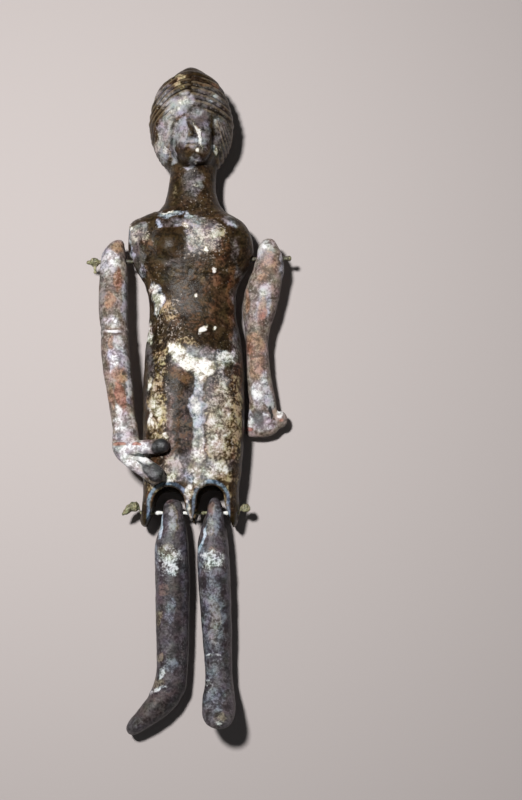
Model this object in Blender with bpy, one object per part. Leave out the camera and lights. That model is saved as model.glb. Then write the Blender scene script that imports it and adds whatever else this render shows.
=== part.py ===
# Jointed terracotta doll lying on its flat back: +Y to the crown, +Z out of its face.
# The origin is on the flat back, under the waist. Metres.
import math

import bmesh
import bpy
from mathutils import Matrix, Vector

# Driving sizes
BODY_LENGTH = 0.1394
ARM_LENGTH = 0.0594
LEG_LENGTH = 0.0663
WALL = 0.0022
CHEST_TOP_WALL = 0.0050
SHOULDER_WIRE = 0.0012
HIP_WIRE = 0.0010
WIRE_PLAY = 0.0003
PIECE_GAP = 0.0003
ARM_RIGHT_GAP = 0.0009
ARM_LEFT_GAP = 0.0006
ARCH_CHAMFER = 0.0008
LEG_ASIDE = 0.0010
LUMP_RADIUS = 0.0007
KNOT_RADIUS = 0.0015
KNOB_RADIUS = 0.0010
HIP_BALL_RADIUS = 0.0015
HIP_BALL_LIFT = 0.0014
BORE_PAST = 0.012

# The body is drawn on a grid of modules, one to a millimetre at its nominal length
CROWN = 92.2
HEM = -47.2
MODULE = BODY_LENGTH / (CROWN - HEM)
ARM_MODULE = ARM_LENGTH / 59.4
LEG_MODULE = LEG_LENGTH / 66.3

BODY_RING = 32
LIMB_RING = 14
RING_STEP = 5.2
SIDE_LEVEL = 0.42
BACK_OVERSHOOT = 1.35
BODY_FRONT_SHARE = 0.72
LIMB_SQUARENESS = 2.2
WIRE_SIDES = 8
BEAD_SHARES = (-0.9, -0.45, 0.45, 0.9)
BEAD_NECK = 1.15

# Body sections, in modules: height, left edge, right edge, front, back, squareness
BODY_STATIONS = (
    (-47.4, 14.0, 12.7, 13.2, 0.0, 2.7),
    (-45.6, 15.2, 13.4, 13.7, 0.0, 2.7),
    (-41.5, 14.5, 13.8, 14.4, 0.0, 2.6),
    (-38.0, 14.2, 13.6, 15.0, 0.0, 2.6),
    (-33.0, 14.3, 14.1, 15.8, 0.0, 2.6),
    (-25.0, 14.5, 14.8, 16.6, 0.0, 2.5),
    (-12.0, 14.6, 15.2, 17.2, 0.0, 2.4),
    (-3.0, 14.6, 15.0, 16.8, 0.0, 2.4),
    (5.0, 14.3, 14.3, 15.6, 0.0, 2.4),
    (10.0, 13.7, 13.6, 14.6, 0.0, 2.4),
    (15.0, 13.2, 12.6, 14.0, 0.0, 2.4),
    (21.0, 13.7, 12.4, 14.3, 0.0, 2.4),
    (25.0, 14.8, 13.2, 15.0, 0.0, 2.4),
    (29.0, 17.3, 15.9, 15.9, 0.0, 2.5),
    (33.0, 19.4, 17.8, 16.6, 0.0, 2.7),
    (37.5, 19.9, 17.6, 16.7, 0.0, 2.9),
    (41.0, 19.7, 16.6, 16.2, 0.0, 3.0),
    (43.5, 19.2, 15.0, 15.4, 0.0, 2.8),
    (45.3, 15.5, 12.2, 14.8, 0.6, 2.5),
    (46.9, 11.3, 9.6, 14.2, 1.2, 2.3),
    (49.6, 9.1, 7.5, 13.8, 2.0, 2.2),
    (53.6, 8.2, 6.3, 13.6, 2.8, 2.1),
    (60.8, 7.4, 6.5, 14.0, 3.0, 2.1),
    (67.0, 6.0, 5.6, 13.0, 4.0, 2.0),
)
CAVITY_LOW = -50.0
CAVITY_RINGS = 12
SHOULDER_TOP = 43.5
THIGH_FADE = ((-6.0, 6.0), (-40.0, -30.0))
VALLEY_DEPTH = 1.7
VALLEY_WIDTH = 2.6
VALLEY_PLACE = 0.6
VALLEY_LEAN = -0.02
BELLY_LIFT = 0.5
BELLY_SIZE = (7.5, 7.0)
BELLY_HEIGHT = 3.0

# Hair sections, in modules: height, middle, half width, front, back
HAIR_STATIONS = (
    (61.0, -1.0, 8.6, 13.6, 4.6),
    (63.0, -1.2, 9.5, 16.0, 3.0),
    (65.1, -1.2, 10.8, 17.6, 2.2),
    (68.3, -1.1, 12.1, 18.9, 1.5),
    (73.2, -1.1, 12.8, 19.9, 1.0),
    (79.5, -1.3, 11.8, 19.7, 1.0),
    (83.0, -1.3, 10.6, 19.0, 1.4),
    (85.2, -1.3, 9.5, 18.2, 2.0),
    (87.1, -1.1, 7.8, 17.2, 2.8),
    (88.6, -1.0, 6.0, 16.2, 3.8),
    (89.9, -1.0, 4.3, 15.0, 5.0),
    (91.4, -1.0, 2.3, 13.2, 7.0),
    (92.2, -1.0, 0.7, 11.2, 9.0),
)
GROOVE_FIRST = 75.6
GROOVE_PITCH = 2.13
GROOVE_COUNT = 7
GROOVE_DEPTH = 0.55
GROOVE_EDGES = (0.32, 0.70)
GROOVE_BACK_SHARE = 0.35
HAIR_DROP_LEFT = 8.5
HAIR_DROP_RIGHT = 3.4
HAIR_DROP_REACH = 12.0
HAIR_DROP_BOW = 1.7
HAIR_PUFF_RINGS = 4
HAIR_FRONT_SHARE = 0.70
HAIR_SQUARENESS = 2.25

# Face sections, in modules: height, half width, front
FACE_STATIONS = (
    (59.3, 1.6, 16.6),
    (59.9, 3.4, 18.3),
    (61.1, 4.7, 19.5),
    (62.6, 5.6, 20.0),
    (64.3, 6.0, 20.2),
    (66.5, 6.4, 20.4),
    (69.0, 6.4, 20.5),
    (71.5, 6.0, 20.4),
    (73.6, 4.8, 20.0),
    (74.6, 2.4, 19.2),
)
FACE_STEP = 0.95
FACE_RING = 22
FACE_FRONT_SHARE = 0.84
FACE_SQUARENESS = 2.3
FACE_BACK = 6.0
FACE_FLOOR = 12.6
FACE_MIDDLE = 66.4
FACE_SHIFT = 0.2
FACE_TILT = math.radians(5.5)
FEATURES_ASIDE = -0.7
FACE_OPENING = (7.0, 8.7)
FACE_OPENING_DEPTH = 20.0

# Carving of the face, in modules: height, height spread, width spread, how far it stands out
BROW = (71.8, 0.9, 4.5, 0.3)
EYE_HOLLOW = (70.0, 1.3, 1.5, -0.75)
EYE_ASIDE = 2.9
MOUTH = (62.6, 0.75, 1.9, 0.5)
LIP_FOLD = (61.5, 0.5, 2.6, -0.25)
CHIN = (60.8, 1.0, 2.2, 0.45)
NOSE_BRIDGE = (66.9, 72.0)
NOSE_BASE = (65.1, 66.1)
NOSE_WIDTH = 1.0
NOSE_LIFT = 1.9

# Limb sections, in limb modules down from the wire: distance, sideways shift, forward shift,
# half width, half depth
ARM_RIGHT_STATIONS = (
    (-7.0, 1.3, 0.0, 0.7, 1.0),
    (-6.5, 1.2, 0.0, 1.6, 2.1),
    (-5.4, 0.7, 0.0, 2.3, 3.0),
    (-2.1, -0.2, 0.0, 3.7, 3.9),
    (2.2, 0.0, 0.0, 4.2, 4.2),
    (13.0, 0.1, 0.0, 4.35, 4.2),
    (17.8, 0.3, 0.0, 4.2, 4.0),
    (21.4, 0.8, 0.0, 3.95, 3.9),
    (26.7, 1.15, 0.2, 4.2, 4.0),
    (34.6, 2.15, 0.3, 4.15, 3.8),
    (40.8, 3.15, 0.3, 3.95, 3.5),
    (47.3, 4.05, 0.3, 3.6, 3.2),
    (51.7, 5.0, 0.5, 3.7, 3.0),
    (55.2, 5.3, 0.8, 4.1, 2.9),
    (58.0, 5.2, 0.8, 3.8, 2.7),
    (60.4, 5.8, 0.7, 2.7, 2.2),
    (61.6, 6.4, 0.6, 1.2, 1.1),
)
ARM_LEFT_STATIONS = (
    (-5.9, 0.2, 0.0, 0.7, 1.0),
    (-5.4, 0.0, 0.0, 1.8, 2.1),
    (-3.9, -0.1, 0.0, 2.8, 3.1),
    (-1.0, 0.4, 0.0, 4.0, 4.0),
    (3.6, 0.0, 0.0, 4.8, 4.3),
    (6.1, -0.8, 0.0, 5.1, 4.3),
    (10.1, -1.8, 0.0, 5.4, 4.1),
    (16.8, -2.85, 0.0, 4.95, 3.9),
    (21.3, -3.3, 0.0, 3.8, 3.5),
    (25.7, -3.4, 0.0, 3.3, 3.3),
    (35.8, -2.75, 0.0, 3.65, 3.2),
    (41.6, -1.95, 0.0, 3.95, 3.0),
    (45.1, -1.6, 0.0, 4.2, 2.8),
    (48.6, -1.5, -0.1, 4.8, 2.7),
    (51.4, -1.8, -0.2, 4.9, 2.5),
    (52.8, -2.6, -0.2, 4.1, 2.0),
    (53.5, -3.6, -0.2, 2.5, 1.2),
)
LEG_RIGHT_STATIONS = (
    (-3.9, 0.0, -0.1, 0.7, 0.9),
    (-3.2, 0.0, -0.1, 1.8, 2.2),
    (-1.8, 0.0, -0.05, 2.6, 2.9),
    (1.0, 0.0, 0.05, 3.05, 3.3),
    (3.5, 0.0, -0.3, 3.5, 3.6),
    (7.1, 0.0, 0.1, 4.3, 4.5),
    (9.2, 0.0, 0.3, 4.5, 4.9),
    (16.3, 0.0, 0.0, 4.6, 5.0),
    (26.4, 0.0, -0.15, 4.55, 4.95),
    (36.4, 0.0, -0.25, 4.4, 4.7),
    (43.9, 0.0, -0.3, 4.2, 4.5),
    (48.4, 0.0, 0.2, 4.1, 4.7),
    (52.0, 0.0, 1.8, 4.1, 4.4),
    (55.0, 0.0, 4.2, 4.2, 3.7),
    (57.6, 0.0, 7.1, 4.1, 3.0),
    (59.8, 0.0, 9.8, 3.6, 2.4),
    (61.3, 0.0, 11.5, 2.5, 1.7),
    (61.8, 0.0, 12.1, 1.1, 0.8),
)
LEG_LEFT_STATIONS = (
    (-4.5, -0.1, 0.0, 0.6, 0.9),
    (-3.8, -0.1, 0.0, 1.4, 2.2),
    (-2.0, 0.0, 0.0, 2.1, 3.0),
    (1.0, -0.1, 0.0, 2.85, 3.5),
    (4.0, -0.3, 0.0, 3.6, 3.9),
    (8.3, -0.6, 0.0, 4.45, 4.5),
    (16.3, -0.25, 0.0, 4.75, 4.7),
    (26.4, 0.3, -0.1, 4.55, 4.6),
    (36.4, 0.85, -0.2, 4.25, 4.4),
    (43.9, 1.2, -0.3, 3.9, 4.2),
    (48.4, 1.5, 0.2, 4.0, 4.4),
    (51.6, 1.4, 1.9, 4.6, 4.2),
    (53.9, 1.5, 4.3, 4.8, 3.7),
    (55.7, 1.5, 7.1, 4.7, 3.0),
    (57.2, 1.6, 9.6, 4.1, 2.4),
    (58.2, 1.6, 11.2, 2.9, 1.7),
    (58.7, 1.6, 11.9, 1.2, 0.8),
)

# Places on the body, in modules
SHOULDER_RIGHT = (31.4, 8.4)
SHOULDER_LEFT = (32.6, 8.4)
HIP = (-43.3, 7.2)
ARM_RIGHT_SWING = math.radians(5.6)
ARM_LEFT_SWING = math.radians(-5.0)
LEG_SWING = math.radians(-2.4)
FOOT_TURN = math.radians(-90)
# Each leg arch: middle, half width and top
ARCH_RIGHT = (-6.5, 5.4, -35.7)
ARCH_LEFT = (5.7, 4.6, -35.2)
ARCH_STEPS = 10
ARCH_STRAIGHT = 1.35
ARCH_SPREAD = 1.02
# Depths of the pared front rim under the body's front: where the wall is full, and the skin
RIM_DEPTH = 2.6
RIM_SKIN = 0.4
RIM_FLARE = 1.2
CUTTER_PAST = (2.0, 4.0)
HEM_POINT = 0.4
LUG_TIP = 0.7
LUG_END = 0.9
BREASTS = ((-6.3, 35.4), (6.6, 35.0))
BREAST_SIZE = (5.4, 5.6, 3.0)
BREAST_SINK = 2.2
BREAST_SIDES = 12

# Hands, in limb modules: distance down, sideways and forward, then sizes
UPPER_CLAPPER = ((57.4, 4.0, 0.8), (57.1, 17.7, 4.3), (2.2, 1.8))
LOWER_CLAPPER = ((58.2, 3.4, 0.6), (66.6, 16.0, 3.1), (2.9, 1.8))
CLAPPER_TIP = 0.85
CLAPPER_SQUARENESS = 2.8
THUMB = ((48.3, 3.9, 0.4), (1.7, 2.6, 1.9))

# Twisted wire end at the hip: distance out, lift and radius of each turn
HIP_TWIST = ((0.0017, 0.0018, 0.0017), (0.0034, 0.0006, 0.0013), (0.0045, -0.0003, 0.0008))
# The shoulder knot, in knot radii: where its tip is and its size, and where its tail ends
KNOT_TIP = (1.25, 0.52)
KNOT_TAIL = (0.2, -2.2)


def clear_scene():
    for thing in list(bpy.data.objects):
        bpy.data.objects.remove(thing, do_unlink=True)


def new_collection(name):
    collection = bpy.data.collections.new(name)
    bpy.context.scene.collection.children.link(collection)
    return collection


def material(name, colour, roughness, metallic=0.0):
    mat = bpy.data.materials.new(name)
    mat.use_nodes = True
    shader = mat.node_tree.nodes["Principled BSDF"]
    shader.inputs["Base Color"].default_value = (*colour, 1.0)
    shader.inputs["Roughness"].default_value = roughness
    shader.inputs["Metallic"].default_value = metallic
    mat.diffuse_color = (*colour, 1.0)
    return mat


def hump(value, middle, spread):
    return math.exp(-(((value - middle) / spread) ** 2))


def ramp(value, low, high):
    share = min(1.0, max(0.0, (value - low) / (high - low)))
    return share * share * (3.0 - 2.0 * share)


def slope(stations, index, column):
    # Slope at a station that never overshoots its neighbours
    if index == 0 or index == len(stations) - 1:
        return 0.0
    before, here, after = stations[index - 1], stations[index], stations[index + 1]
    rise_in = (here[column] - before[column]) / (here[0] - before[0])
    rise_out = (after[column] - here[column]) / (after[0] - here[0])
    if rise_in * rise_out <= 0.0:
        return 0.0
    return 2.0 * rise_in * rise_out / (rise_in + rise_out)


def follow(stations, place, column):
    # Smooth value of one column of the stations at a place between the first and the last
    place = min(max(place, stations[0][0]), stations[-1][0])
    index = 0
    while index < len(stations) - 2 and place > stations[index + 1][0]:
        index += 1
    low, high = stations[index], stations[index + 1]
    span = high[0] - low[0]
    t = (place - low[0]) / span
    start = (2 * t**3 - 3 * t**2 + 1) * low[column] + (-2 * t**3 + 3 * t**2) * high[column]
    leave = (t**3 - 2 * t**2 + t) * span * slope(stations, index, column)
    arrive = (t**3 - t**2) * span * slope(stations, index + 1, column)
    return start + leave + arrive


def places_along(stations, step):
    places = [stations[0][0]]
    for low, high in zip(stations, stations[1:]):
        parts = max(1, math.ceil((high[0] - low[0]) / step))
        places += [low[0] + (high[0] - low[0]) * part / parts for part in range(1, parts + 1)]
    return places


def power(value, exponent):
    return math.copysign(abs(value) ** exponent, value)


def section(middle, half, front, back, square, angle):
    # Point of a closed section with a round front and a flattened back
    level = back + (front - back) * SIDE_LEVEL
    across = middle + half * power(math.cos(angle), 2.0 / square)
    lift = power(math.sin(angle), 2.0 / square)
    if lift >= 0.0:
        return across, level + (front - level) * lift
    return across, max(back, level + (level - back) * lift * BACK_OVERSHOOT)


def front_angles(count, front_share):
    # Angles round a section, closer together over the front
    front_count = round(count * front_share)
    back_count = count - front_count
    front = [math.pi * step / front_count for step in range(front_count)]
    return front + [math.pi * (1.0 + step / back_count) for step in range(back_count)]


def loft(name, rings, mat, collection):
    # Closed skin through rings of equal count, first and last capped
    bm = bmesh.new()
    rows = [[bm.verts.new(point) for point in ring] for ring in rings]
    count = len(rows[0])
    for low, high in zip(rows, rows[1:]):
        for step in range(count):
            after = (step + 1) % count
            bm.faces.new((low[step], low[after], high[after], high[step]))
    bm.faces.new(rows[0])
    bm.faces.new(rows[-1])
    bmesh.ops.recalc_face_normals(bm, faces=bm.faces)
    return finish(name, bm, mat, collection)


def finish(name, bm, mat, collection):
    mesh = bpy.data.meshes.new(name)
    bm.to_mesh(mesh)
    bm.free()
    mesh.materials.append(mat)
    mesh.shade_smooth()
    mesh.set_sharp_from_angle(angle=math.radians(45))
    piece = bpy.data.objects.new(name, mesh)
    collection.objects.link(piece)
    return piece


def ball(name, place, size, mat, collection, segments=12):
    bm = bmesh.new()
    bmesh.ops.create_uvsphere(bm, u_segments=segments, v_segments=segments * 2 // 3, radius=1.0)
    bmesh.ops.scale(bm, vec=size, verts=bm.verts)
    bmesh.ops.translate(bm, vec=place, verts=bm.verts)
    return finish(name, bm, mat, collection)


def rod(name, start, end, radius, mat, collection, sides=12):
    # Cylinder from one point to another
    start, end = Vector(start), Vector(end)
    turn = Vector((0, 0, 1)).rotation_difference(end - start).to_matrix().to_4x4()
    bm = bmesh.new()
    bmesh.ops.create_cone(
        bm,
        cap_ends=True,
        segments=sides,
        radius1=radius,
        radius2=radius,
        depth=(end - start).length,
        matrix=Matrix.Translation((start + end) / 2) @ turn,
    )
    return finish(name, bm, mat, collection)


def combine(piece, tool, operation):
    # Join or cut a piece with a tool, which is then only a guide
    step = piece.modifiers.new(f"{operation.lower()} {tool.name}", "BOOLEAN")
    step.operation = operation
    step.solver = "EXACT"
    step.object = tool
    tool.hide_render = True
    tool.display_type = "WIRE"


def body_relief(across, height):
    # Thighs and the valley between them, in modules out of the plain front
    waist, hem = THIGH_FADE
    thighs = (1.0 - ramp(height, *waist)) * ramp(height, *hem)
    valley = hump(across, VALLEY_PLACE + VALLEY_LEAN * height, VALLEY_WIDTH)
    belly = hump(across, 0.0, BELLY_SIZE[0]) * hump(height, BELLY_HEIGHT, BELLY_SIZE[1])
    return BELLY_LIFT * belly - VALLEY_DEPTH * valley * thighs


def body_ring(height, inset=0.0):
    left, right, front, back, square = (follow(BODY_STATIONS, height, i) for i in range(1, 6))
    middle = (right - left) / 2
    half = (right + left) / 2 - inset
    ring = []
    for angle in front_angles(BODY_RING if inset == 0.0 else BODY_RING // 2, BODY_FRONT_SHARE):
        across, lift = section(middle, half, front - inset, back + inset, square, angle)
        rise = max(0.0, math.sin(angle))
        lift += rise * body_relief(across, height)
        ring.append((across * MODULE, height * MODULE, lift * MODULE))
    return ring


def body_side(height, side):
    # How far the body reaches to one side at a height
    return follow(BODY_STATIONS, height, 1 if side < 0 else 2) * MODULE * side


def hair_drop(height, across):
    # How far a hair wave sinks between the parting and the side
    reach = min(1.0, max(0.0, (CROWN - height) / HAIR_DROP_REACH)) ** 1.2
    low = ramp(height, HAIR_STATIONS[0][0], GROOVE_FIRST)
    side = HAIR_DROP_LEFT if across < 0 else HAIR_DROP_RIGHT
    return side * reach * low


def hair_ring(height, sink):
    ring = []
    for angle in front_angles(BODY_RING, HAIR_FRONT_SHARE):
        aside = math.cos(angle)
        here = height - hair_drop(height, aside) * abs(aside) ** HAIR_DROP_BOW
        middle, half, front, back = (follow(HAIR_STATIONS, here, i) for i in range(1, 5))
        across, lift = section(middle, half, front, back, HAIR_SQUARENESS, angle)
        level = back + (front - back) * SIDE_LEVEL
        front_share = max(0.0, math.sin(angle)) ** 0.5
        share = sink * (GROOVE_BACK_SHARE + (1.0 - GROOVE_BACK_SHARE) * front_share)
        across = middle + (across - middle) * (1.0 - share / max(half, 2.0))
        lift = level + (lift - level) * (1.0 - share / max(front - level, 2.0))
        ring.append((across * MODULE, here * MODULE, lift * MODULE))
    return ring


def make_hair(mat, collection):
    low = HAIR_STATIONS[0][0]
    rings = []
    for step in range(HAIR_PUFF_RINGS):
        rings.append(hair_ring(low + (GROOVE_FIRST - low) * step / HAIR_PUFF_RINGS, 0.0))
    for groove in range(GROOVE_COUNT):
        height = GROOVE_FIRST + groove * GROOVE_PITCH
        rings.append(hair_ring(height, GROOVE_DEPTH))
        for edge in GROOVE_EDGES:
            rings.append(hair_ring(height + GROOVE_PITCH * edge, 0.0))
    last = GROOVE_FIRST + GROOVE_COUNT * GROOVE_PITCH
    rings.append(hair_ring(last, GROOVE_DEPTH * 0.6))
    rings.append(hair_ring((last + CROWN) / 2, 0.0))
    rings.append(hair_ring(CROWN, 0.0))
    hair = loft("hair", rings, mat, collection)
    bm = bmesh.new()
    bmesh.ops.create_cone(bm, cap_ends=True, segments=28, radius1=1.0, radius2=1.0, depth=1.0)
    size = [side * MODULE for side in (*FACE_OPENING, FACE_OPENING_DEPTH)]
    bmesh.ops.scale(bm, vec=size, verts=bm.verts)
    bmesh.ops.rotate(bm, matrix=Matrix.Rotation(FACE_TILT, 3, "Z"), verts=bm.verts)
    place = (FACE_SHIFT, FACE_MIDDLE, FACE_FLOOR + FACE_OPENING_DEPTH / 2)
    bmesh.ops.translate(bm, vec=[value * MODULE for value in place], verts=bm.verts)
    combine(hair, finish("face opening", bm, mat, collection), "DIFFERENCE")
    return hair


def face_relief(across, height):
    # Brow, eye hollows, nose, mouth and chin, in modules out of the plain egg
    low, high = NOSE_BRIDGE
    nose = hump(across, 0.0, NOSE_WIDTH) * ramp(-height, -high, -low) * ramp(height, *NOSE_BASE)
    relief = NOSE_LIFT * nose
    for place, tall, wide, lift in (BROW, MOUTH, LIP_FOLD, CHIN):
        relief += lift * hump(height, place, tall) * hump(across, 0.0, wide)
    place, tall, wide, lift = EYE_HOLLOW
    return relief + lift * hump(height, place, tall) * hump(abs(across), EYE_ASIDE, wide)


def make_face(mat, collection):
    rings = []
    for height in places_along(FACE_STATIONS, FACE_STEP):
        half, front = (follow(FACE_STATIONS, height, i) for i in (1, 2))
        middle = FACE_SHIFT + math.tan(FACE_TILT) * (FACE_MIDDLE - height)
        ring = []
        for angle in front_angles(FACE_RING, FACE_FRONT_SHARE):
            across, lift = section(0.0, half, front, FACE_BACK, FACE_SQUARENESS, angle)
            lift += max(0.0, math.sin(angle)) * face_relief(across - FEATURES_ASIDE, height)
            ring.append(((middle + across) * MODULE, height * MODULE, lift * MODULE))
        rings.append(ring)
    return loft("face", rings, mat, collection)


def make_cavity(mat, collection):
    # Room inside the body, one wall thickness in from its skin and open at the hem
    inset = WALL / MODULE
    top = SHOULDER_TOP - CHEST_TOP_WALL / MODULE
    low = BODY_STATIONS[0][0]
    heights = [low + (top - low) * step / CAVITY_RINGS for step in range(CAVITY_RINGS + 1)]
    rings = [body_ring(height, inset) for height in heights]
    below = [(x, CAVITY_LOW * MODULE, z) for x, _, z in rings[0]]
    return loft("cavity", [below] + rings, mat, collection)


def arch_outline(arch, outer, inner, spread):
    # Round top over straight sides that open out to the points of the hem
    middle, half, top = arch
    half += spread
    top += spread
    outline = []
    for step in range(ARCH_STEPS + 1):
        angle = math.pi * step / ARCH_STEPS
        outline.append((middle + half * math.cos(angle), top - half * (1.0 - math.sin(angle))))
    low, high = sorted((outer, inner))
    straight = top - half * ARCH_STRAIGHT
    tip = HEM + LUG_TIP
    outline += [(middle - half * ARCH_SPREAD, straight), (low, tip), (low, CAVITY_LOW)]
    outline += [(high, CAVITY_LOW), (high, tip), (middle + half * ARCH_SPREAD, straight)]
    return outline


def make_arch(name, arch, outer, mat, collection):
    # Cutter for one leg arch, through the front and the back, its front edge pared wider
    pare = ARCH_CHAMFER / MODULE
    front = follow(BODY_STATIONS, arch[2], 3)
    levels = (
        (-CUTTER_PAST[0], -pare),
        (front - RIM_DEPTH, -pare),
        (front - RIM_SKIN, 0.0),
        (front + CUTTER_PAST[1], RIM_FLARE),
    )
    rings = []
    for level, spread in levels:
        outline = arch_outline(arch, outer, HEM_POINT, spread)
        rings.append([(x * MODULE, y * MODULE, level * MODULE) for x, y in outline])
    return loft(name, rings, mat, collection)


def arm_middle(side):
    # Middle of an arm at its wire, set clear of the shoulder beside it
    stations = ARM_RIGHT_STATIONS if side < 0 else ARM_LEFT_STATIONS
    height = SHOULDER_RIGHT[0] if side < 0 else SHOULDER_LEFT[0]
    reach = 0.0
    for distance in range(-5, 8):
        shift, half = (follow(stations, distance, i) * ARM_MODULE for i in (1, 3))
        body = abs(body_side(height - distance * ARM_MODULE / MODULE, side))
        reach = max(reach, body + half - side * shift)
    return side * (reach + (ARM_RIGHT_GAP if side < 0 else ARM_LEFT_GAP))


def make_limb(name, stations, module, place, turn, mat, collection):
    # Limb hung from its wire: rings square to its middle line, then turned about the wire
    middles = []
    heights = places_along(stations, RING_STEP)
    for distance in heights:
        shift, forward = (follow(stations, distance, i) for i in (1, 2))
        middles.append(Vector((shift, -distance, forward)))
    rings = []
    for index, middle in enumerate(middles):
        before = middles[max(0, index - 1)]
        after = middles[min(len(middles) - 1, index + 1)]
        along = after - before
        along.x = 0.0
        front = Vector((1, 0, 0)).cross(along).normalized() * -1.0
        half, deep = (follow(stations, heights[index], i) for i in (3, 4))
        ring = []
        for step in range(LIMB_RING):
            angle = math.tau * step / LIMB_RING
            across = power(math.cos(angle), 2.0 / LIMB_SQUARENESS) * half
            lift = power(math.sin(angle), 2.0 / LIMB_SQUARENESS) * deep
            ring.append((middle + Vector((across, 0, 0)) + front * lift) * module)
        rings.append(ring)
    limb = loft(name, rings, mat, collection)
    limb.data.transform(turn.to_4x4())
    limb.location = place
    return limb


def make_bar(name, clapper, mat, collection):
    # One clapper bar with a round end, from the palm outwards
    start, end = (in_limb(*point, ARM_MODULE) for point in clapper[:2])
    half = [size * ARM_MODULE for size in clapper[2]]
    along = (end - start).normalized()
    side = along.cross(Vector((0, 0, 1))).normalized()
    up = side.cross(along)
    length = (end - start).length
    tip = CLAPPER_TIP * half[0] / length
    # Share of the length, and share of the full width there
    profile = ((0.0, 0.62), (0.35, 0.9), (1.0 - tip, 1.0), (1.0 - tip * 0.35, 0.8), (1.0, 0.35))
    rings = []
    for share, swell in profile:
        ring = []
        for step in range(LIMB_RING):
            angle = math.tau * step / LIMB_RING
            across = power(math.cos(angle), 2.0 / CLAPPER_SQUARENESS) * half[0] * swell
            lift = power(math.sin(angle), 2.0 / CLAPPER_SQUARENESS) * half[1] * (1.0 + swell) / 2
            ring.append(start + along * (length * share) + side * across + up * lift)
        rings.append(ring)
    return loft(name, rings, mat, collection)


def in_limb(distance, across, forward, module):
    return Vector((across, -distance, forward)) * module


def cut_bore(piece, start, end, radius, mat, guides):
    name = f"{piece.name} bore"
    combine(piece, rod(name, start, end, radius, mat, guides), "DIFFERENCE")


def place_with(piece, limb, turn):
    piece.data.transform(turn.to_4x4())
    piece.location = limb.location


def make_torso(mat, doll, guides):
    heights = places_along(BODY_STATIONS, RING_STEP)
    torso = loft("torso", [body_ring(height) for height in heights], mat, doll)
    combine(torso, make_hair(mat, guides), "UNION")
    combine(torso, make_face(mat, guides), "UNION")
    for across, height in BREASTS:
        front = follow(BODY_STATIONS, height, 3)
        place = (across * MODULE, height * MODULE, (front - BREAST_SINK) * MODULE)
        size = [side * MODULE for side in BREAST_SIZE]
        combine(torso, ball("breast", place, size, mat, guides, BREAST_SIDES), "UNION")
    combine(torso, make_cavity(mat, guides), "DIFFERENCE")
    for side, name, arch in ((-1, "arch right", ARCH_RIGHT), (1, "arch left", ARCH_LEFT)):
        outer = body_side(HEM, side) / MODULE - side * LUG_END
        combine(torso, make_arch(name, arch, outer, mat, guides), "DIFFERENCE")
    return torso


def make_arm_right(place, mat, doll, guides):
    turn = Matrix.Rotation(-ARM_RIGHT_SWING, 3, "X")
    arm = make_limb("arm_right", ARM_RIGHT_STATIONS, ARM_MODULE, place, turn, mat, doll)
    for name, clapper in (("upper clapper", UPPER_CLAPPER), ("lower clapper", LOWER_CLAPPER)):
        bar = make_bar(name, clapper, mat, guides)
        place_with(bar, arm, turn)
        combine(arm, bar, "UNION")
    return arm


def make_arm_left(place, mat, doll, guides):
    turn = Matrix.Rotation(-ARM_LEFT_SWING, 3, "X")
    arm = make_limb("arm_left", ARM_LEFT_STATIONS, ARM_MODULE, place, turn, mat, doll)
    size = [side * ARM_MODULE for side in THUMB[1]]
    thumb = ball("thumb", in_limb(*THUMB[0], ARM_MODULE), size, mat, guides)
    place_with(thumb, arm, turn)
    combine(arm, thumb, "UNION")
    return arm


def wire_stations(length, radius, beads):
    # Distance along a beaded wire, sideways lift and radius, wherever these change
    def bead_radius(bead, place):
        return math.sqrt(max(0.0, bead[2] ** 2 - (place - bead[0]) ** 2))

    stations = []
    for bead in beads:
        middle, lift, size = bead
        for share in BEAD_SHARES:
            place = middle + share * size
            here = bead_radius(bead, place)
            if all(other is bead or bead_radius(other, place) < here for other in beads):
                stations.append((place, lift, max(here, radius) if 0.0 < place < length else here))
        for edge in (middle - size * BEAD_NECK, middle + size * BEAD_NECK):
            if 0.0 < edge < length and all(bead_radius(other, edge) < radius for other in beads):
                stations.append((edge, 0.0, radius))
    return sorted(stations)


def make_wire(name, start, end, radius, beads, mat, collection):
    # Round wire whose knots, lumps and end balls are swellings of one skin
    along = (end - start).normalized()
    side = Vector((0, 0, 1)).cross(along)
    up = along.cross(side)
    rings = []
    for place, lift, here in wire_stations((end - start).length, radius, beads):
        middle = start + along * place + side * lift
        ring = []
        for step in range(WIRE_SIDES):
            angle = math.tau * step / WIRE_SIDES
            ring.append(middle + side * (math.cos(angle) * here) + up * (math.sin(angle) * here))
        rings.append(ring)
    return loft(name, rings, mat, collection)


def make_shoulder_pin(right, left, mat, doll, guides):
    # Wire through both arms: a looped knot outside the right one, a knob outside the left
    half_right = follow(ARM_RIGHT_STATIONS, 0.0, 3) * ARM_MODULE
    half_left = follow(ARM_LEFT_STATIONS, 0.0, 3) * ARM_MODULE
    shift_left = follow(ARM_LEFT_STATIONS, 0.0, 1) * ARM_MODULE
    knot = right - Vector((half_right + PIECE_GAP + KNOT_RADIUS, 0, 0))
    knob = left + Vector((shift_left + half_left + PIECE_GAP + KNOB_RADIUS, 0, 0))
    beads = (
        (-KNOT_RADIUS * KNOT_TIP[0], 0.0, KNOT_RADIUS * KNOT_TIP[1]),
        (0.0, 0.0, KNOT_RADIUS),
        ((knob - knot).length, 0.0, KNOB_RADIUS),
    )
    pin = make_wire("shoulder_pin", knot, knob, SHOULDER_WIRE / 2, beads, mat, doll)
    tail = knot + Vector((KNOT_RADIUS * KNOT_TAIL[0], KNOT_RADIUS * KNOT_TAIL[1], 0))
    combine(pin, rod("knot tail", knot, tail, SHOULDER_WIRE / 3, mat, guides, WIRE_SIDES), "UNION")
    return pin


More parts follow.
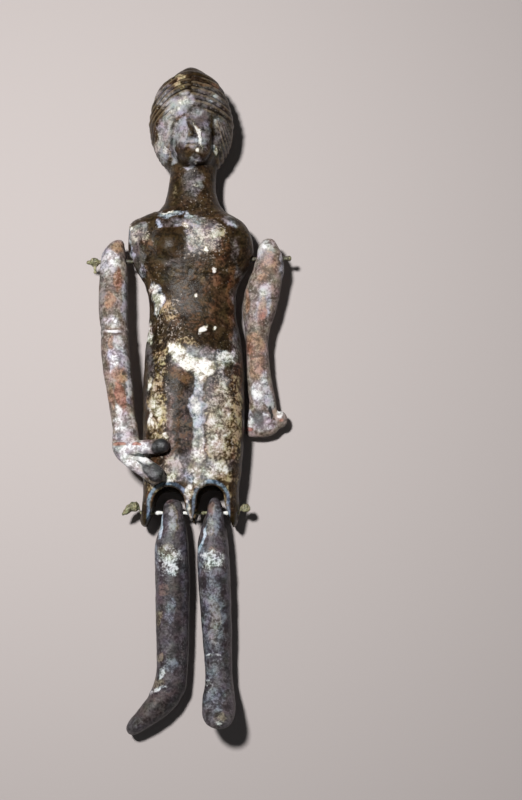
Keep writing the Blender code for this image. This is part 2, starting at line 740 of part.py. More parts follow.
def make_hip_pin(legs, mat, doll):
    # Wire through the hem's side lugs and both legs: a twisted end, a ball, and lumps by the legs
    height, level = HIP[0] * MODULE, HIP[1] * MODULE
    start = Vector((body_side(HIP[0], -1) - PIECE_GAP, height, level))
    end = Vector((body_side(HIP[0], 1) + PIECE_GAP + HIP_BALL_RADIUS, height, level))
    beads = [(-out, lift, radius) for out, lift, radius in HIP_TWIST]
    for leg_x, half in legs:
        for side in (-1, 1):
            reach = half + PIECE_GAP + LUMP_RADIUS
            beads.append((leg_x + side * reach - start.x, 0.0, LUMP_RADIUS))
    beads.append((end.x - start.x, HIP_BALL_LIFT, HIP_BALL_RADIUS))
    return make_wire("hip_pin", start, end, HIP_WIRE / 2, beads, mat, doll)


def main():
    clear_scene()
    doll = new_collection("terracotta_doll")
    guides = new_collection("guides")
    dark_clay = material("dark_clay", (0.16, 0.12, 0.075), 0.45)
    pale_clay = material("pale_clay", (0.42, 0.32, 0.29), 0.7)
    grey_clay = material("grey_clay", (0.25, 0.21, 0.20), 0.6)
    wire = material("old_wire", (0.36, 0.33, 0.19), 0.5, 0.6)

    shoulder_right = Vector((arm_middle(-1), SHOULDER_RIGHT[0] * MODULE, SHOULDER_RIGHT[1] * MODULE))
    shoulder_left = Vector((arm_middle(1), SHOULDER_LEFT[0] * MODULE, SHOULDER_LEFT[1] * MODULE))
    hip_right = Vector((ARCH_RIGHT[0] * MODULE + LEG_ASIDE, HIP[0] * MODULE, HIP[1] * MODULE))
    hip_left = Vector((ARCH_LEFT[0] * MODULE + LEG_ASIDE, HIP[0] * MODULE, HIP[1] * MODULE))

    torso = make_torso(dark_clay, doll, guides)
    arm_right = make_arm_right(shoulder_right, pale_clay, doll, guides)
    arm_left = make_arm_left(shoulder_left, pale_clay, doll, guides)
    swing = Matrix.Rotation(-LEG_SWING, 3, "X")
    aside = swing @ Matrix.Rotation(FOOT_TURN, 3, "Y")
    leg_right = make_limb(
        "leg_right", LEG_RIGHT_STATIONS, LEG_MODULE, hip_right, aside, grey_clay, doll
    )
    leg_left = make_limb(
        "leg_left", LEG_LEFT_STATIONS, LEG_MODULE, hip_left, swing, grey_clay, doll
    )
    make_shoulder_pin(shoulder_right, shoulder_left, wire, doll, guides)
    half_right = follow(LEG_RIGHT_STATIONS, 0.0, 4) * LEG_MODULE
    half_left = follow(LEG_LEFT_STATIONS, 0.0, 3) * LEG_MODULE
    make_hip_pin(((hip_right.x, half_right), (hip_left.x, half_left)), wire, doll)

    along = (shoulder_left - shoulder_right).normalized() * BORE_PAST
    bore = SHOULDER_WIRE / 2 + WIRE_PLAY
    for piece in (torso, arm_right, arm_left):
        cut_bore(piece, shoulder_right - along, shoulder_left + along, bore, dark_clay, guides)
    out = Vector((body_side(HIP[0], 1) + BORE_PAST, 0, 0))
    middle = Vector((0, HIP[0] * MODULE, HIP[1] * MODULE))
    for piece in (torso, leg_right, leg_left):
        cut_bore(piece, middle - out, middle + out, HIP_WIRE / 2 + WIRE_PLAY, dark_clay, guides)


main()
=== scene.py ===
# Looks of an ancient jointed terracotta doll, lying on its flat back: +Y to the crown, +Z out of the face
import math

import bpy
import numpy as np
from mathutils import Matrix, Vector, noise
from mathutils.bvhtree import BVHTree


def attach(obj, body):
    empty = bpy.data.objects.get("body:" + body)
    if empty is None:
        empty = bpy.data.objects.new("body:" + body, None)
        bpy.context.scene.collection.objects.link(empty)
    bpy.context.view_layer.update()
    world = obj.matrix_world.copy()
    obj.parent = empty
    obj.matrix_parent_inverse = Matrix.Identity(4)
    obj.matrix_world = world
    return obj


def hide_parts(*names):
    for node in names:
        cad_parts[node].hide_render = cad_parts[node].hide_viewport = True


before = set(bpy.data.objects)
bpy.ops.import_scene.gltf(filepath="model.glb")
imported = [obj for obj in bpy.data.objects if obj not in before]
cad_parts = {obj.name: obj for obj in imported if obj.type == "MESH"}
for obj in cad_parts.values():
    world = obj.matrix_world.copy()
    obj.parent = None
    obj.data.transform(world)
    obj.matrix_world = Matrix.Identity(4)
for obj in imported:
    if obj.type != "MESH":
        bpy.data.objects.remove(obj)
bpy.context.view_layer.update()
mm = 0.001  # the script counts in millimetres and builds in metres

view = {
    "lens": 55.0,
    "longSide": 36.0,
    "frame": (522, 800),
    "tilt": 9.846,  # degrees that the camera leans towards the head
    "place": (19.99, -71.58, 361.27),
}
light = {
    "towards": (-0.24, 0.16, 0.96),  # from the doll to the lamp
    "distance": 430.0,
    "size": 50.0,
    "power": 2.1,
    "fillFrom": (240.0, -200.0, 420.0),
    "fillSize": 420.0,
    "fillPower": 0.05,
    "sky": 0.03,
    "skyTone": (0.9, 0.95, 1.0, 1.0),
    "floorTone": "#c3bab7",
    "floorRough": 0.9,
    "floorReach": 1500.0,
    "floorDrop": 0.2,  # under the relief of the back
}


# The pixels at which the photograph shows the points of a piece
def photoPlaces(points):
    tilt = math.radians(view["tilt"])
    forward = np.array((0.0, math.sin(tilt), -math.cos(tilt)))
    up = np.array((0.0, math.cos(tilt), math.sin(tilt)))
    reach = view["lens"] / view["longSide"] * view["frame"][1]
    away = points - np.array(view["place"])
    depth = away @ forward
    px = view["frame"][0] / 2 + away[:, 0] / depth * reach
    py = view["frame"][1] / 2 - (away @ up) / depth * reach
    return np.stack((px, py), axis=1)


# Shaping by number: all lengths in millimetres
surface = {
    "weldWithin": 0.001,  # joins the loose triangles of a solid
    "noiseShift": (7.3, 3.1, 5.7),  # how far each seed moves the noise
    "patchEdge": (0.55, 1.3),  # where a patch starts to fade and where it ends, in shares of its half size
    "tornBy": ((5.0, 5.0, 51), (1.9, 3.0, 55)),  # width of the lumps in mm, shift in pixels, seed
    "coverFrom": -0.1,  # least upward lean of a point that can lie under a cover
    "coverStep": 0.15,  # how far off the skin the search starts
    "mostWear": 1.5,
    "fieldLimit": 2.0,
}


def ramp(value, low, high):
    share = np.clip((value - low) / (high - low), 0.0, 1.0)
    return share * share * (3.0 - 2.0 * share)


def hump(value, middle, spread):
    return np.exp(-((value - middle) / spread) ** 2)


def roughness(points, size, seed):
    # Even noise between about -1 and 1, whose lumps are as wide as size
    shift = Vector([seed * part for part in surface["noiseShift"]])
    return np.array([noise.noise(Vector(spot) + shift) for spot in points / size])


def wave(points, strengthAndSize, seed):
    strength, size = strengthAndSize
    return strength * roughness(points, size, seed)


def wornBy(points, grains, firstSeed):
    # Unevenness of the skin, its coarse and fine grains together
    move = np.zeros(len(points))
    for seed, (size, depth) in enumerate(grains):
        move += depth * roughness(points, size, seed + firstSeed)
    return move


def lineDistance(places, line):
    # How far each place is from a bent line through the given points
    best = np.full(len(places), 1e9)
    for start, end in zip(line[:-1], line[1:]):
        start, end = np.array(start, float), np.array(end, float)
        run = end - start
        share = np.clip(((places - start) @ run) / (run @ run), 0.0, 1.0)
        best = np.minimum(best, np.linalg.norm(places - start - share[:, None] * run, axis=1))
    return best


def raggedPlaces(points):
    # Places in the photograph, shifted unevenly so that patches laid by them get torn outlines
    places = photoPlaces(points)
    for size, reach, seed in surface["tornBy"]:
        for column in (0, 1):
            places[:, column] += reach * roughness(points, size, seed + column)
    return places


def patchField(places, patches):
    # Strength of soft oval patches: centre, half sizes in pixels, turn in degrees, strength
    field = np.zeros(len(places))
    for px, py, wide, high, turn, strength in patches.values():
        angle = math.radians(turn)
        away = places - np.array((px, py))
        along = away[:, 0] * math.cos(angle) + away[:, 1] * math.sin(angle)
        over = away[:, 1] * math.cos(angle) - away[:, 0] * math.sin(angle)
        reach = np.hypot(along / wide, over / high)
        field = np.maximum(field, strength * (1.0 - ramp(reach, *surface["patchEdge"])))
    return field


# Meshes
def selectOnly(piece):
    bpy.ops.object.select_all(action="DESELECT")
    piece.select_set(True)
    bpy.context.view_layer.objects.active = piece


def finishWith(piece, kind, **settings):
    selectOnly(piece)
    step = piece.modifiers.new(kind.title(), kind)
    for name, value in settings.items():
        setattr(step, name, value)
    bpy.ops.object.modifier_apply(modifier=step.name)


def copyOfNode(node, name):
    piece = bpy.data.objects.new(name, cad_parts[node].data.copy())
    bpy.context.scene.collection.objects.link(piece)
    piece.data.name = name
    piece.data.materials.clear()
    selectOnly(piece)
    bpy.ops.object.mode_set(mode="EDIT")
    bpy.ops.mesh.select_all(action="SELECT")
    bpy.ops.mesh.remove_doubles(threshold=surface["weldWithin"] * mm)
    bpy.ops.object.mode_set(mode="OBJECT")
    return piece


def remesh(piece, voxel):
    finishWith(piece, "REMESH", mode="VOXEL", voxel_size=voxel * mm, use_smooth_shade=True)


def pointsOf(piece):
    flat = np.empty(len(piece.data.vertices) * 3)
    piece.data.vertices.foreach_get("co", flat)
    return flat.reshape(-1, 3) / mm


def putPoints(piece, points):
    piece.data.vertices.foreach_set("co", (points * mm).ravel())
    piece.data.update()


def normalsOf(piece):
    flat = np.empty(len(piece.data.vertices) * 3)
    piece.data.vertex_normals.foreach_get("vector", flat)
    return flat.reshape(-1, 3)


def edgesOf(piece):
    flat = np.empty(len(piece.data.edges) * 2, dtype=np.int64)
    piece.data.edges.foreach_get("vertices", flat)
    return flat.reshape(-1, 2)


def blurred(values, edges, rounds):
    # Each value moves half way to its neighbours' mean, round after round
    first, second = edges.T
    count = np.bincount(first, minlength=len(values)) + np.bincount(second, minlength=len(values))
    columns = values.T if values.ndim == 2 else [values]
    result = []
    for column in columns:
        column = column.copy()
        for _ in range(rounds):
            total = np.bincount(first, column[second], len(column))
            total += np.bincount(second, column[first], len(column))
            column = 0.5 * column + 0.5 * total / count
        result.append(column)
    return np.array(result).T if values.ndim == 2 else result[0]


def relaxed(points, edges, rounds, limit):
    # Rounds off the flat facets of the solid without shrinking it; no point moves further than limit
    soft = blurred(points, edges, rounds)
    soft = soft + blurred(points - soft, edges, rounds)
    move = soft - points
    length = np.linalg.norm(move, axis=1)
    return points + move * np.minimum(1.0, limit / np.maximum(length, 1e-9))[:, None]


def roundedCopy(node, name, values):
    # A remeshed copy of a node, its flat facets rounded off
    piece = copyOfNode(node, name)
    remesh(piece, values["voxel"])
    points = relaxed(pointsOf(piece), edgesOf(piece), values["rounds"], values["roundOff"])
    putPoints(piece, points)
    return piece, points, normalsOf(piece), photoPlaces(points)


def underCover(piece, points, normals):
    # True where the piece itself lies over a point, as over the inside of the body
    tree = BVHTree.FromObject(piece, bpy.context.evaluated_depsgraph_get())
    hidden = np.zeros(len(points), bool)
    up = Vector((0.0, 0.0, 1.0))
    for index, (point, normal) in enumerate(zip(points, normals)):
        if normal[2] > surface["coverFrom"]:
            start = Vector((point + normal * surface["coverStep"]) * mm)
            hidden[index] = tree.ray_cast(start, up)[0] is not None
    return hidden


def addField(piece, name, values):
    field = piece.data.attributes.new(name, "FLOAT", "POINT")
    limit = surface["fieldLimit"]
    field.data.foreach_set("value", np.clip(values, -limit, limit).astype(np.float32))


def addHollowShadeAndWearFields(piece, grain, kept=0.0):
    # Hollows that take dirt and painted shade, and edges that rub bare, read from the finished surface
    points, normals, edges = pointsOf(piece), normalsOf(piece), edgesOf(piece)
    hollow = blurred(points, edges, grain["rounds"]) - points
    bend = (hollow * normals).sum(axis=1) / grain["depth"]
    most = surface["mostWear"]
    addField(piece, "carved", blurred(np.clip(bend, 0.0, most), edges, 1))
    addField(piece, "rubbed", blurred(np.clip(-bend, 0.0, most), edges, 1) - kept)


# Materials
def linear(tone):
    parts = [int(tone[place:place + 2], 16) / 255 for place in (1, 3, 5)]
    return [part / 12.92 if part < 0.04045 else ((part + 0.055) / 1.055) ** 2.4 for part in parts] + [1.0]


def addNode(tree, kind, links=None, **settings):
    node = tree.nodes.new(kind)
    for name, value in settings.items():
        setattr(node, name, value)
    for name, value in (links or {}).items():
        socket = node.inputs[name]
        if isinstance(value, bpy.types.NodeSocket):
            tree.links.new(value, socket)
        else:
            socket.default_value = value
    return node


def noiseOf(tree, coords, size, detail, rough, warp=0.0):
    links = {"Vector": coords, "Scale": 1.0 / (size * mm), "Detail": detail}
    links.update({"Roughness": rough, "Distortion": warp})
    return addNode(tree, "ShaderNodeTexNoise", links).outputs["Fac"]


def mathOf(tree, operation, first, second=0.0, third=0.0):
    return addNode(tree, "ShaderNodeMath", {0: first, 1: second, 2: third}, operation=operation).outputs[0]


def rangeOf(tree, value, low, high, outLow=0.0, outHigh=1.0):
    links = {"Value": value, "From Min": low, "From Max": high, "To Min": outLow, "To Max": outHigh}
    return addNode(tree, "ShaderNodeMapRange", links, interpolation_type="SMOOTHSTEP").outputs["Result"]


def mixOf(tree, share, first, second, blend="MIX"):
    node = addNode(tree, "ShaderNodeMix", data_type="RGBA", blend_type=blend)
    for place, value in ((0, share), (6, first), (7, second)):
        if isinstance(value, bpy.types.NodeSocket):
            tree.links.new(value, node.inputs[place])
        else:
            node.inputs[place].default_value = value
    return node.outputs[2]


def fieldOf(tree, name):
    return addNode(tree, "ShaderNodeAttribute", attribute_name=name).outputs["Fac"]


paint = {
    "broadNoise": (4.0, 0.55, 0.6),  # detail, roughness and distortion of each noise
    "middleNoise": (6.0, 0.62, 0.4),
    "fineNoise": (4.0, 0.65),
    "speckNoise": (3.0, 0.7),
    "fleckNoise": (2.0, 0.6),
    "tintDetail": 2.0,
    "fineShare": 0.8,  # how far the fine noise breaks the middle one
    "clayBand": (0.32, 0.70),  # each band says where a noise starts to show and where it is full
    "shadeBand": (0.3, 0.7),
    "roughSpread": (-0.06, 0.08),
    "tornFine": 0.7,
    "gateBand": (0.06, 0.42),  # keeps a layer inside its own patches
    "toneLean": 0.22,
    "toneBand": (0.30, 0.62),
    "fleckBand": (0.63, 0.78),
    "fleckToneBand": (0.35, 0.6),
    "speckEdge": 0.05,
    "speckCover": 0.55,
    "dirtAndShadeBand": (0.28, 1.05),
    "rubBand": (0.25, 1.1),
    "bumpDepth": 1.0,
}


def brokenBy(tree, grain, share, value):
    # A field or noise with an even grain laid over it
    return mathOf(tree, "MULTIPLY_ADD", mathOf(tree, "SUBTRACT", grain, 0.5), share, value)


def makeLook(name, look):
    # Fired clay under layers of slip, stain and earth, each on its own field of the piece; some of their
    # patches are painted highlights, painted shade and painted light.
    # A layer is two tones, how ragged and how soft its edge is, cover, roughness and height
    material = bpy.data.materials.new(name)
    material.use_nodes = True
    tree = material.node_tree
    tree.nodes.clear()
    coords = addNode(tree, "ShaderNodeTexCoord").outputs["Object"]
    broad = noiseOf(tree, coords, look["broad"], *paint["broadNoise"])
    middle = noiseOf(tree, coords, look["middle"], *paint["middleNoise"])
    fine = noiseOf(tree, coords, look["fine"], *paint["fineNoise"])
    speck = noiseOf(tree, coords, look["speck"], *paint["speckNoise"])
    fineShare = paint["fineShare"]

    deep, pale = look["clay"]
    blend = brokenBy(tree, fine, fineShare, middle)
    colour = mixOf(tree, rangeOf(tree, blend, *paint["clayBand"]), linear(deep), linear(pale))
    smoothest, roughest = (look["rough"] + part for part in paint["roughSpread"])
    rough = rangeOf(tree, fine, *paint["shadeBand"], smoothest, roughest)
    height = mathOf(tree, "MULTIPLY", fine, look["grainHeight"])
    height = mathOf(tree, "MULTIPLY_ADD", middle, look["lumpHeight"], height)

    # Shades of the clay itself, wide and faint
    shade = rangeOf(tree, broad, *paint["shadeBand"], 1.0 - look["mottle"], 1.0 + look["mottle"])
    shades = addNode(tree, "ShaderNodeCombineColor", {"Red": shade, "Green": shade, "Blue": shade})
    colour = mixOf(tree, 1.0, colour, shades.outputs[0], "MULTIPLY")

    for layer, values in look["layers"].items():
        first, second, ragged, soft, cover, layerRough, raised = values
        field = fieldOf(tree, layer)
        torn = brokenBy(tree, middle, ragged, field)
        torn = brokenBy(tree, fine, ragged * paint["tornFine"], torn)
        mask = rangeOf(tree, torn, 0.5 - soft, 0.5 + soft, 0.0, cover)
        mask = mathOf(tree, "MULTIPLY", mask, rangeOf(tree, field, *paint["gateBand"]))
        depth = mathOf(tree, "MULTIPLY_ADD", mathOf(tree, "SUBTRACT", torn, 1.0), paint["toneLean"], blend)
        tone = mixOf(tree, rangeOf(tree, depth, *paint["toneBand"]), linear(first), linear(second))
        colour = mixOf(tree, mask, colour, tone)
        rough = mathOf(tree, "MULTIPLY_ADD", mask, mathOf(tree, "SUBTRACT", layerRough, rough), rough)
        height = mathOf(tree, "MULTIPLY_ADD", mask, raised, height)

    # Warmer and cooler places over all of it
    links = {"Vector": coords, "Scale": 1.0 / (look["tintSize"] * mm), "Detail": paint["tintDetail"]}
    tints = addNode(tree, "ShaderNodeTexNoise", links)
    colour = mixOf(tree, look["tint"], colour, tints.outputs["Color"], "OVERLAY")

    # Small pale flecks, as thick as their field asks
    flecks = noiseOf(tree, coords, look["fleck"], *paint["fleckNoise"])
    dense = mathOf(tree, "MULTIPLY_ADD", fieldOf(tree, "flecks"), look["fleckReach"], flecks)
    first, second = look["flecks"]
    fleckTone = mixOf(tree, rangeOf(tree, speck, *paint["fleckToneBand"]), linear(first), linear(second))
    dense = rangeOf(tree, dense, *paint["fleckBand"], 0.0, look["fleckCover"])
    colour = mixOf(tree, dense, colour, fleckTone)

    # Specks of earth and bright grit
    dark = rangeOf(tree, speck, look["speckDark"] - paint["speckEdge"], look["speckDark"], 1.0, 0.0)
    dark = mathOf(tree, "MULTIPLY", dark, paint["speckCover"])
    colour = mixOf(tree, dark, colour, linear(look["dirtAndShade"]))
    grit = rangeOf(tree, speck, look["speckPale"], look["speckPale"] + paint["speckEdge"])
    colour = mixOf(tree, mathOf(tree, "MULTIPLY", grit, look["gritCover"]), colour, linear(look["grit"]))

    # Dirt and painted shade in the hollows, and edges rubbed bare
    carved = brokenBy(tree, fine, fineShare, fieldOf(tree, "carved"))
    dirtAndShade = rangeOf(tree, carved, *paint["dirtAndShadeBand"], 0.0, look["dirtAndShadeCover"])
    colour = mixOf(tree, dirtAndShade, colour, linear(look["dirtAndShade"]))
    rubbed = brokenBy(tree, middle, fineShare, fieldOf(tree, "rubbed"))
    bare = rangeOf(tree, rubbed, *paint["rubBand"], 0.0, look["rubCover"])
    colour = mixOf(tree, bare, colour, linear(look["rub"]))

    links = {"Height": height, "Distance": paint["bumpDepth"] * mm, "Strength": 1.0}
    bump = addNode(tree, "ShaderNodeBump", links).outputs["Normal"]
    links = {"Base Color": colour, "Roughness": rough, "Normal": bump}
    shader = addNode(tree, "ShaderNodeBsdfPrincipled", links)
    shader.inputs["Specular IOR Level"].default_value = look["gloss"]
    addNode(tree, "ShaderNodeOutputMaterial", {"Surface": shader.outputs["BSDF"]})
    return material


# The body: head, chest and skirt in one hollow moulding
torso = {
    "voxel": 0.455,
    "rounds": 51,
    "roundOff": 0.42,
    "faceRoundOff": 0.14,
    "creaseRoundOff": 0.9,
    "creaseHalf": 0.16,
    "creaseFrom": (9.0, 12.0),
    "creaseFade": (0.0, 4.0),  # from here to there, beside the left cheek, the crease grows sharper
    "creaseLess": 0.5,
    "faceEdge": (0.8, 1.05),
    "faceFrom": (12.0, 14.0),
    "faceQuiet": 0.6,
    "arches": ((-6.5, 5.4, -35.7), (5.7, 4.6, -35.2)),
    "rimPlace": 0.3,
    "rimWidth": 0.58,
    "rimStrength": 1.1,
    "rimFrom": (4.0, 8.0),
    "rimFacing": (-0.3, 0.2),
    "hemEnd": -52.0,
    "frontFrom": 5.0,
    "wear": ((5.0, 0.16), (2.0, 0.09), (0.9, 0.045)),
    "wearSeed": 10,
    "hollowShadeAndRubRounds": {"rounds": 6, "depth": 0.10},
    "facing": (-0.15, 0.15),
    "fieldNoise": (0.12, 9.0),  # strength and width of the noise in each layer's field
    # The stain patches include painted shade.
    "fleckFree": 0.9,  # how far stains keep the pale flecks off
}
hair = {
    "parting": -1.0,
    "strandFirst": 75.6,
    "strandPitch": 2.13,
    "strandHeight": 0.52,
    "strandEdge": 1.5,
    "strandsEnd": (86.3, 88.6),
    "waver": (0.10, 4.0),  # strength and width of the noise that bends the strands
    "waverSeed": 3,
    "fineHeight": 0.06,
    "fineLines": 2,
    "fineWaver": (1.5, 2.0),
    "fineSeed": 4,
    "dropLeft": 8.5,
    "dropRight": 3.4,
    "dropReach": 12.0,
    "dropBow": 1.8,
    "faceGap": (1.02, 1.16),
    "crownFrom": (71.5, 74.5),
    "frontFrom": (1.5, 4.5),
    "backShare": 0.35,
    "worn": {"over the brow": (184, 106, 15, 12, 0, 0.85)},
    "partSlope": (0.05, 84.0),
    "partHalf": 0.55,
    "partDepth": 0.30,
    "partFrom": (76.0, 78.5),
    "bands": ((-0.16, 89.6, 0.045, 0.5), (0.10, 88.2, 0.03, 0.7)),  # height, place, bow, half width
    "bandFrom": (5.0, 8.0),
    "puffFrom": (57.6, 59.4),
    "puffAside": (5.6, 7.0),
    "puffSlope": (0.95, 0.42),
    "puffPitch": 1.3,
    "puffWaver": (0.25, 3.0),
    "puffSeed": 5,
    "fanFrom": (4.5, 80.0),
    "fanPitch": 4.4,  # degrees from lock to lock
    "lockEdge": 1.8,
    "lockHeights": (0.16, 0.42),  # beside the right and the left cheek
    "lockMiddle": 0.55,
}
face = {
    "middle": (0.2, 66.4),
    "half": (7.0, 8.7),
    "innerHalf": (6.6, 8.4),
    "innerEdge": (0.8, 1.0),
    "from": (14.5, 16.5),
    "noseMiddle": -0.7,
    "noseLevel": 66.0,
    "noseLean": 0.054,  # it drifts aside by this share of the way up
    "noseHeight": 0.20,
    "noseHalf": 0.75,
    "noseFoot": (65.9, 66.7),
    "noseTop": (71.0, 73.0),
    "footCut": (0.60, 1.1, 65.45, 0.5),  # depth, half width, place, half height
    "wings": (0.20, 1.25, 0.5, 66.0, 1.6),  # depth, how far aside, half width, place, half height
    "eyeAside": 2.75,
    "eyeHalf": (1.25, 0.62),
    "eyePlace": 69.65,
    "eyeSlant": 0.10,
    "lidHeight": 0.09,
    "lidEdge": (0.4, 1.0),
    "lidRim": (0.08, 1.25, 0.32),
    "brow": (0.07, 71.45, 0.13, 0.2, 0.5),  # height, place, bow, flat part, half height
    "browEnd": (1.8, 2.6),
    "mouthEnd": (1.1, 2.1),
    "mouth": ((-0.22, 64.35, 0.05, 0.24), (0.16, 64.95, 0.0, 0.36),  # height, place, bow, half height
              (0.20, 63.65, 0.0, 0.45), (-0.10, 61.40, 0.0, 0.36)),
}
neckMend = {
    "line": ((158, 211.5), (170, 212), (183, 214), (196, 214), (210, 213), (224, 212)),
    "crack": (0.22, 1.3),
    "lip": (0.10, 4.0, 2.2),  # height, how far from the crack, half width
    "lipEnd": (200, 185),
}
jaw = {
    "line": ((213.5, 120), (214.5, 137), (213, 150), (209, 159), (203, 164.5), (195, 167),
             (186, 166.5), (178, 162), (173.5, 154)),
    "crease": (0.42, 1.7),
    "from": 9.0,
}
paredShoulder = {
    "line": ((130, 225), (133, 240), (140.5, 255), (144, 264), (149, 276)),
    "ridge": (0.16, 1.6),
}
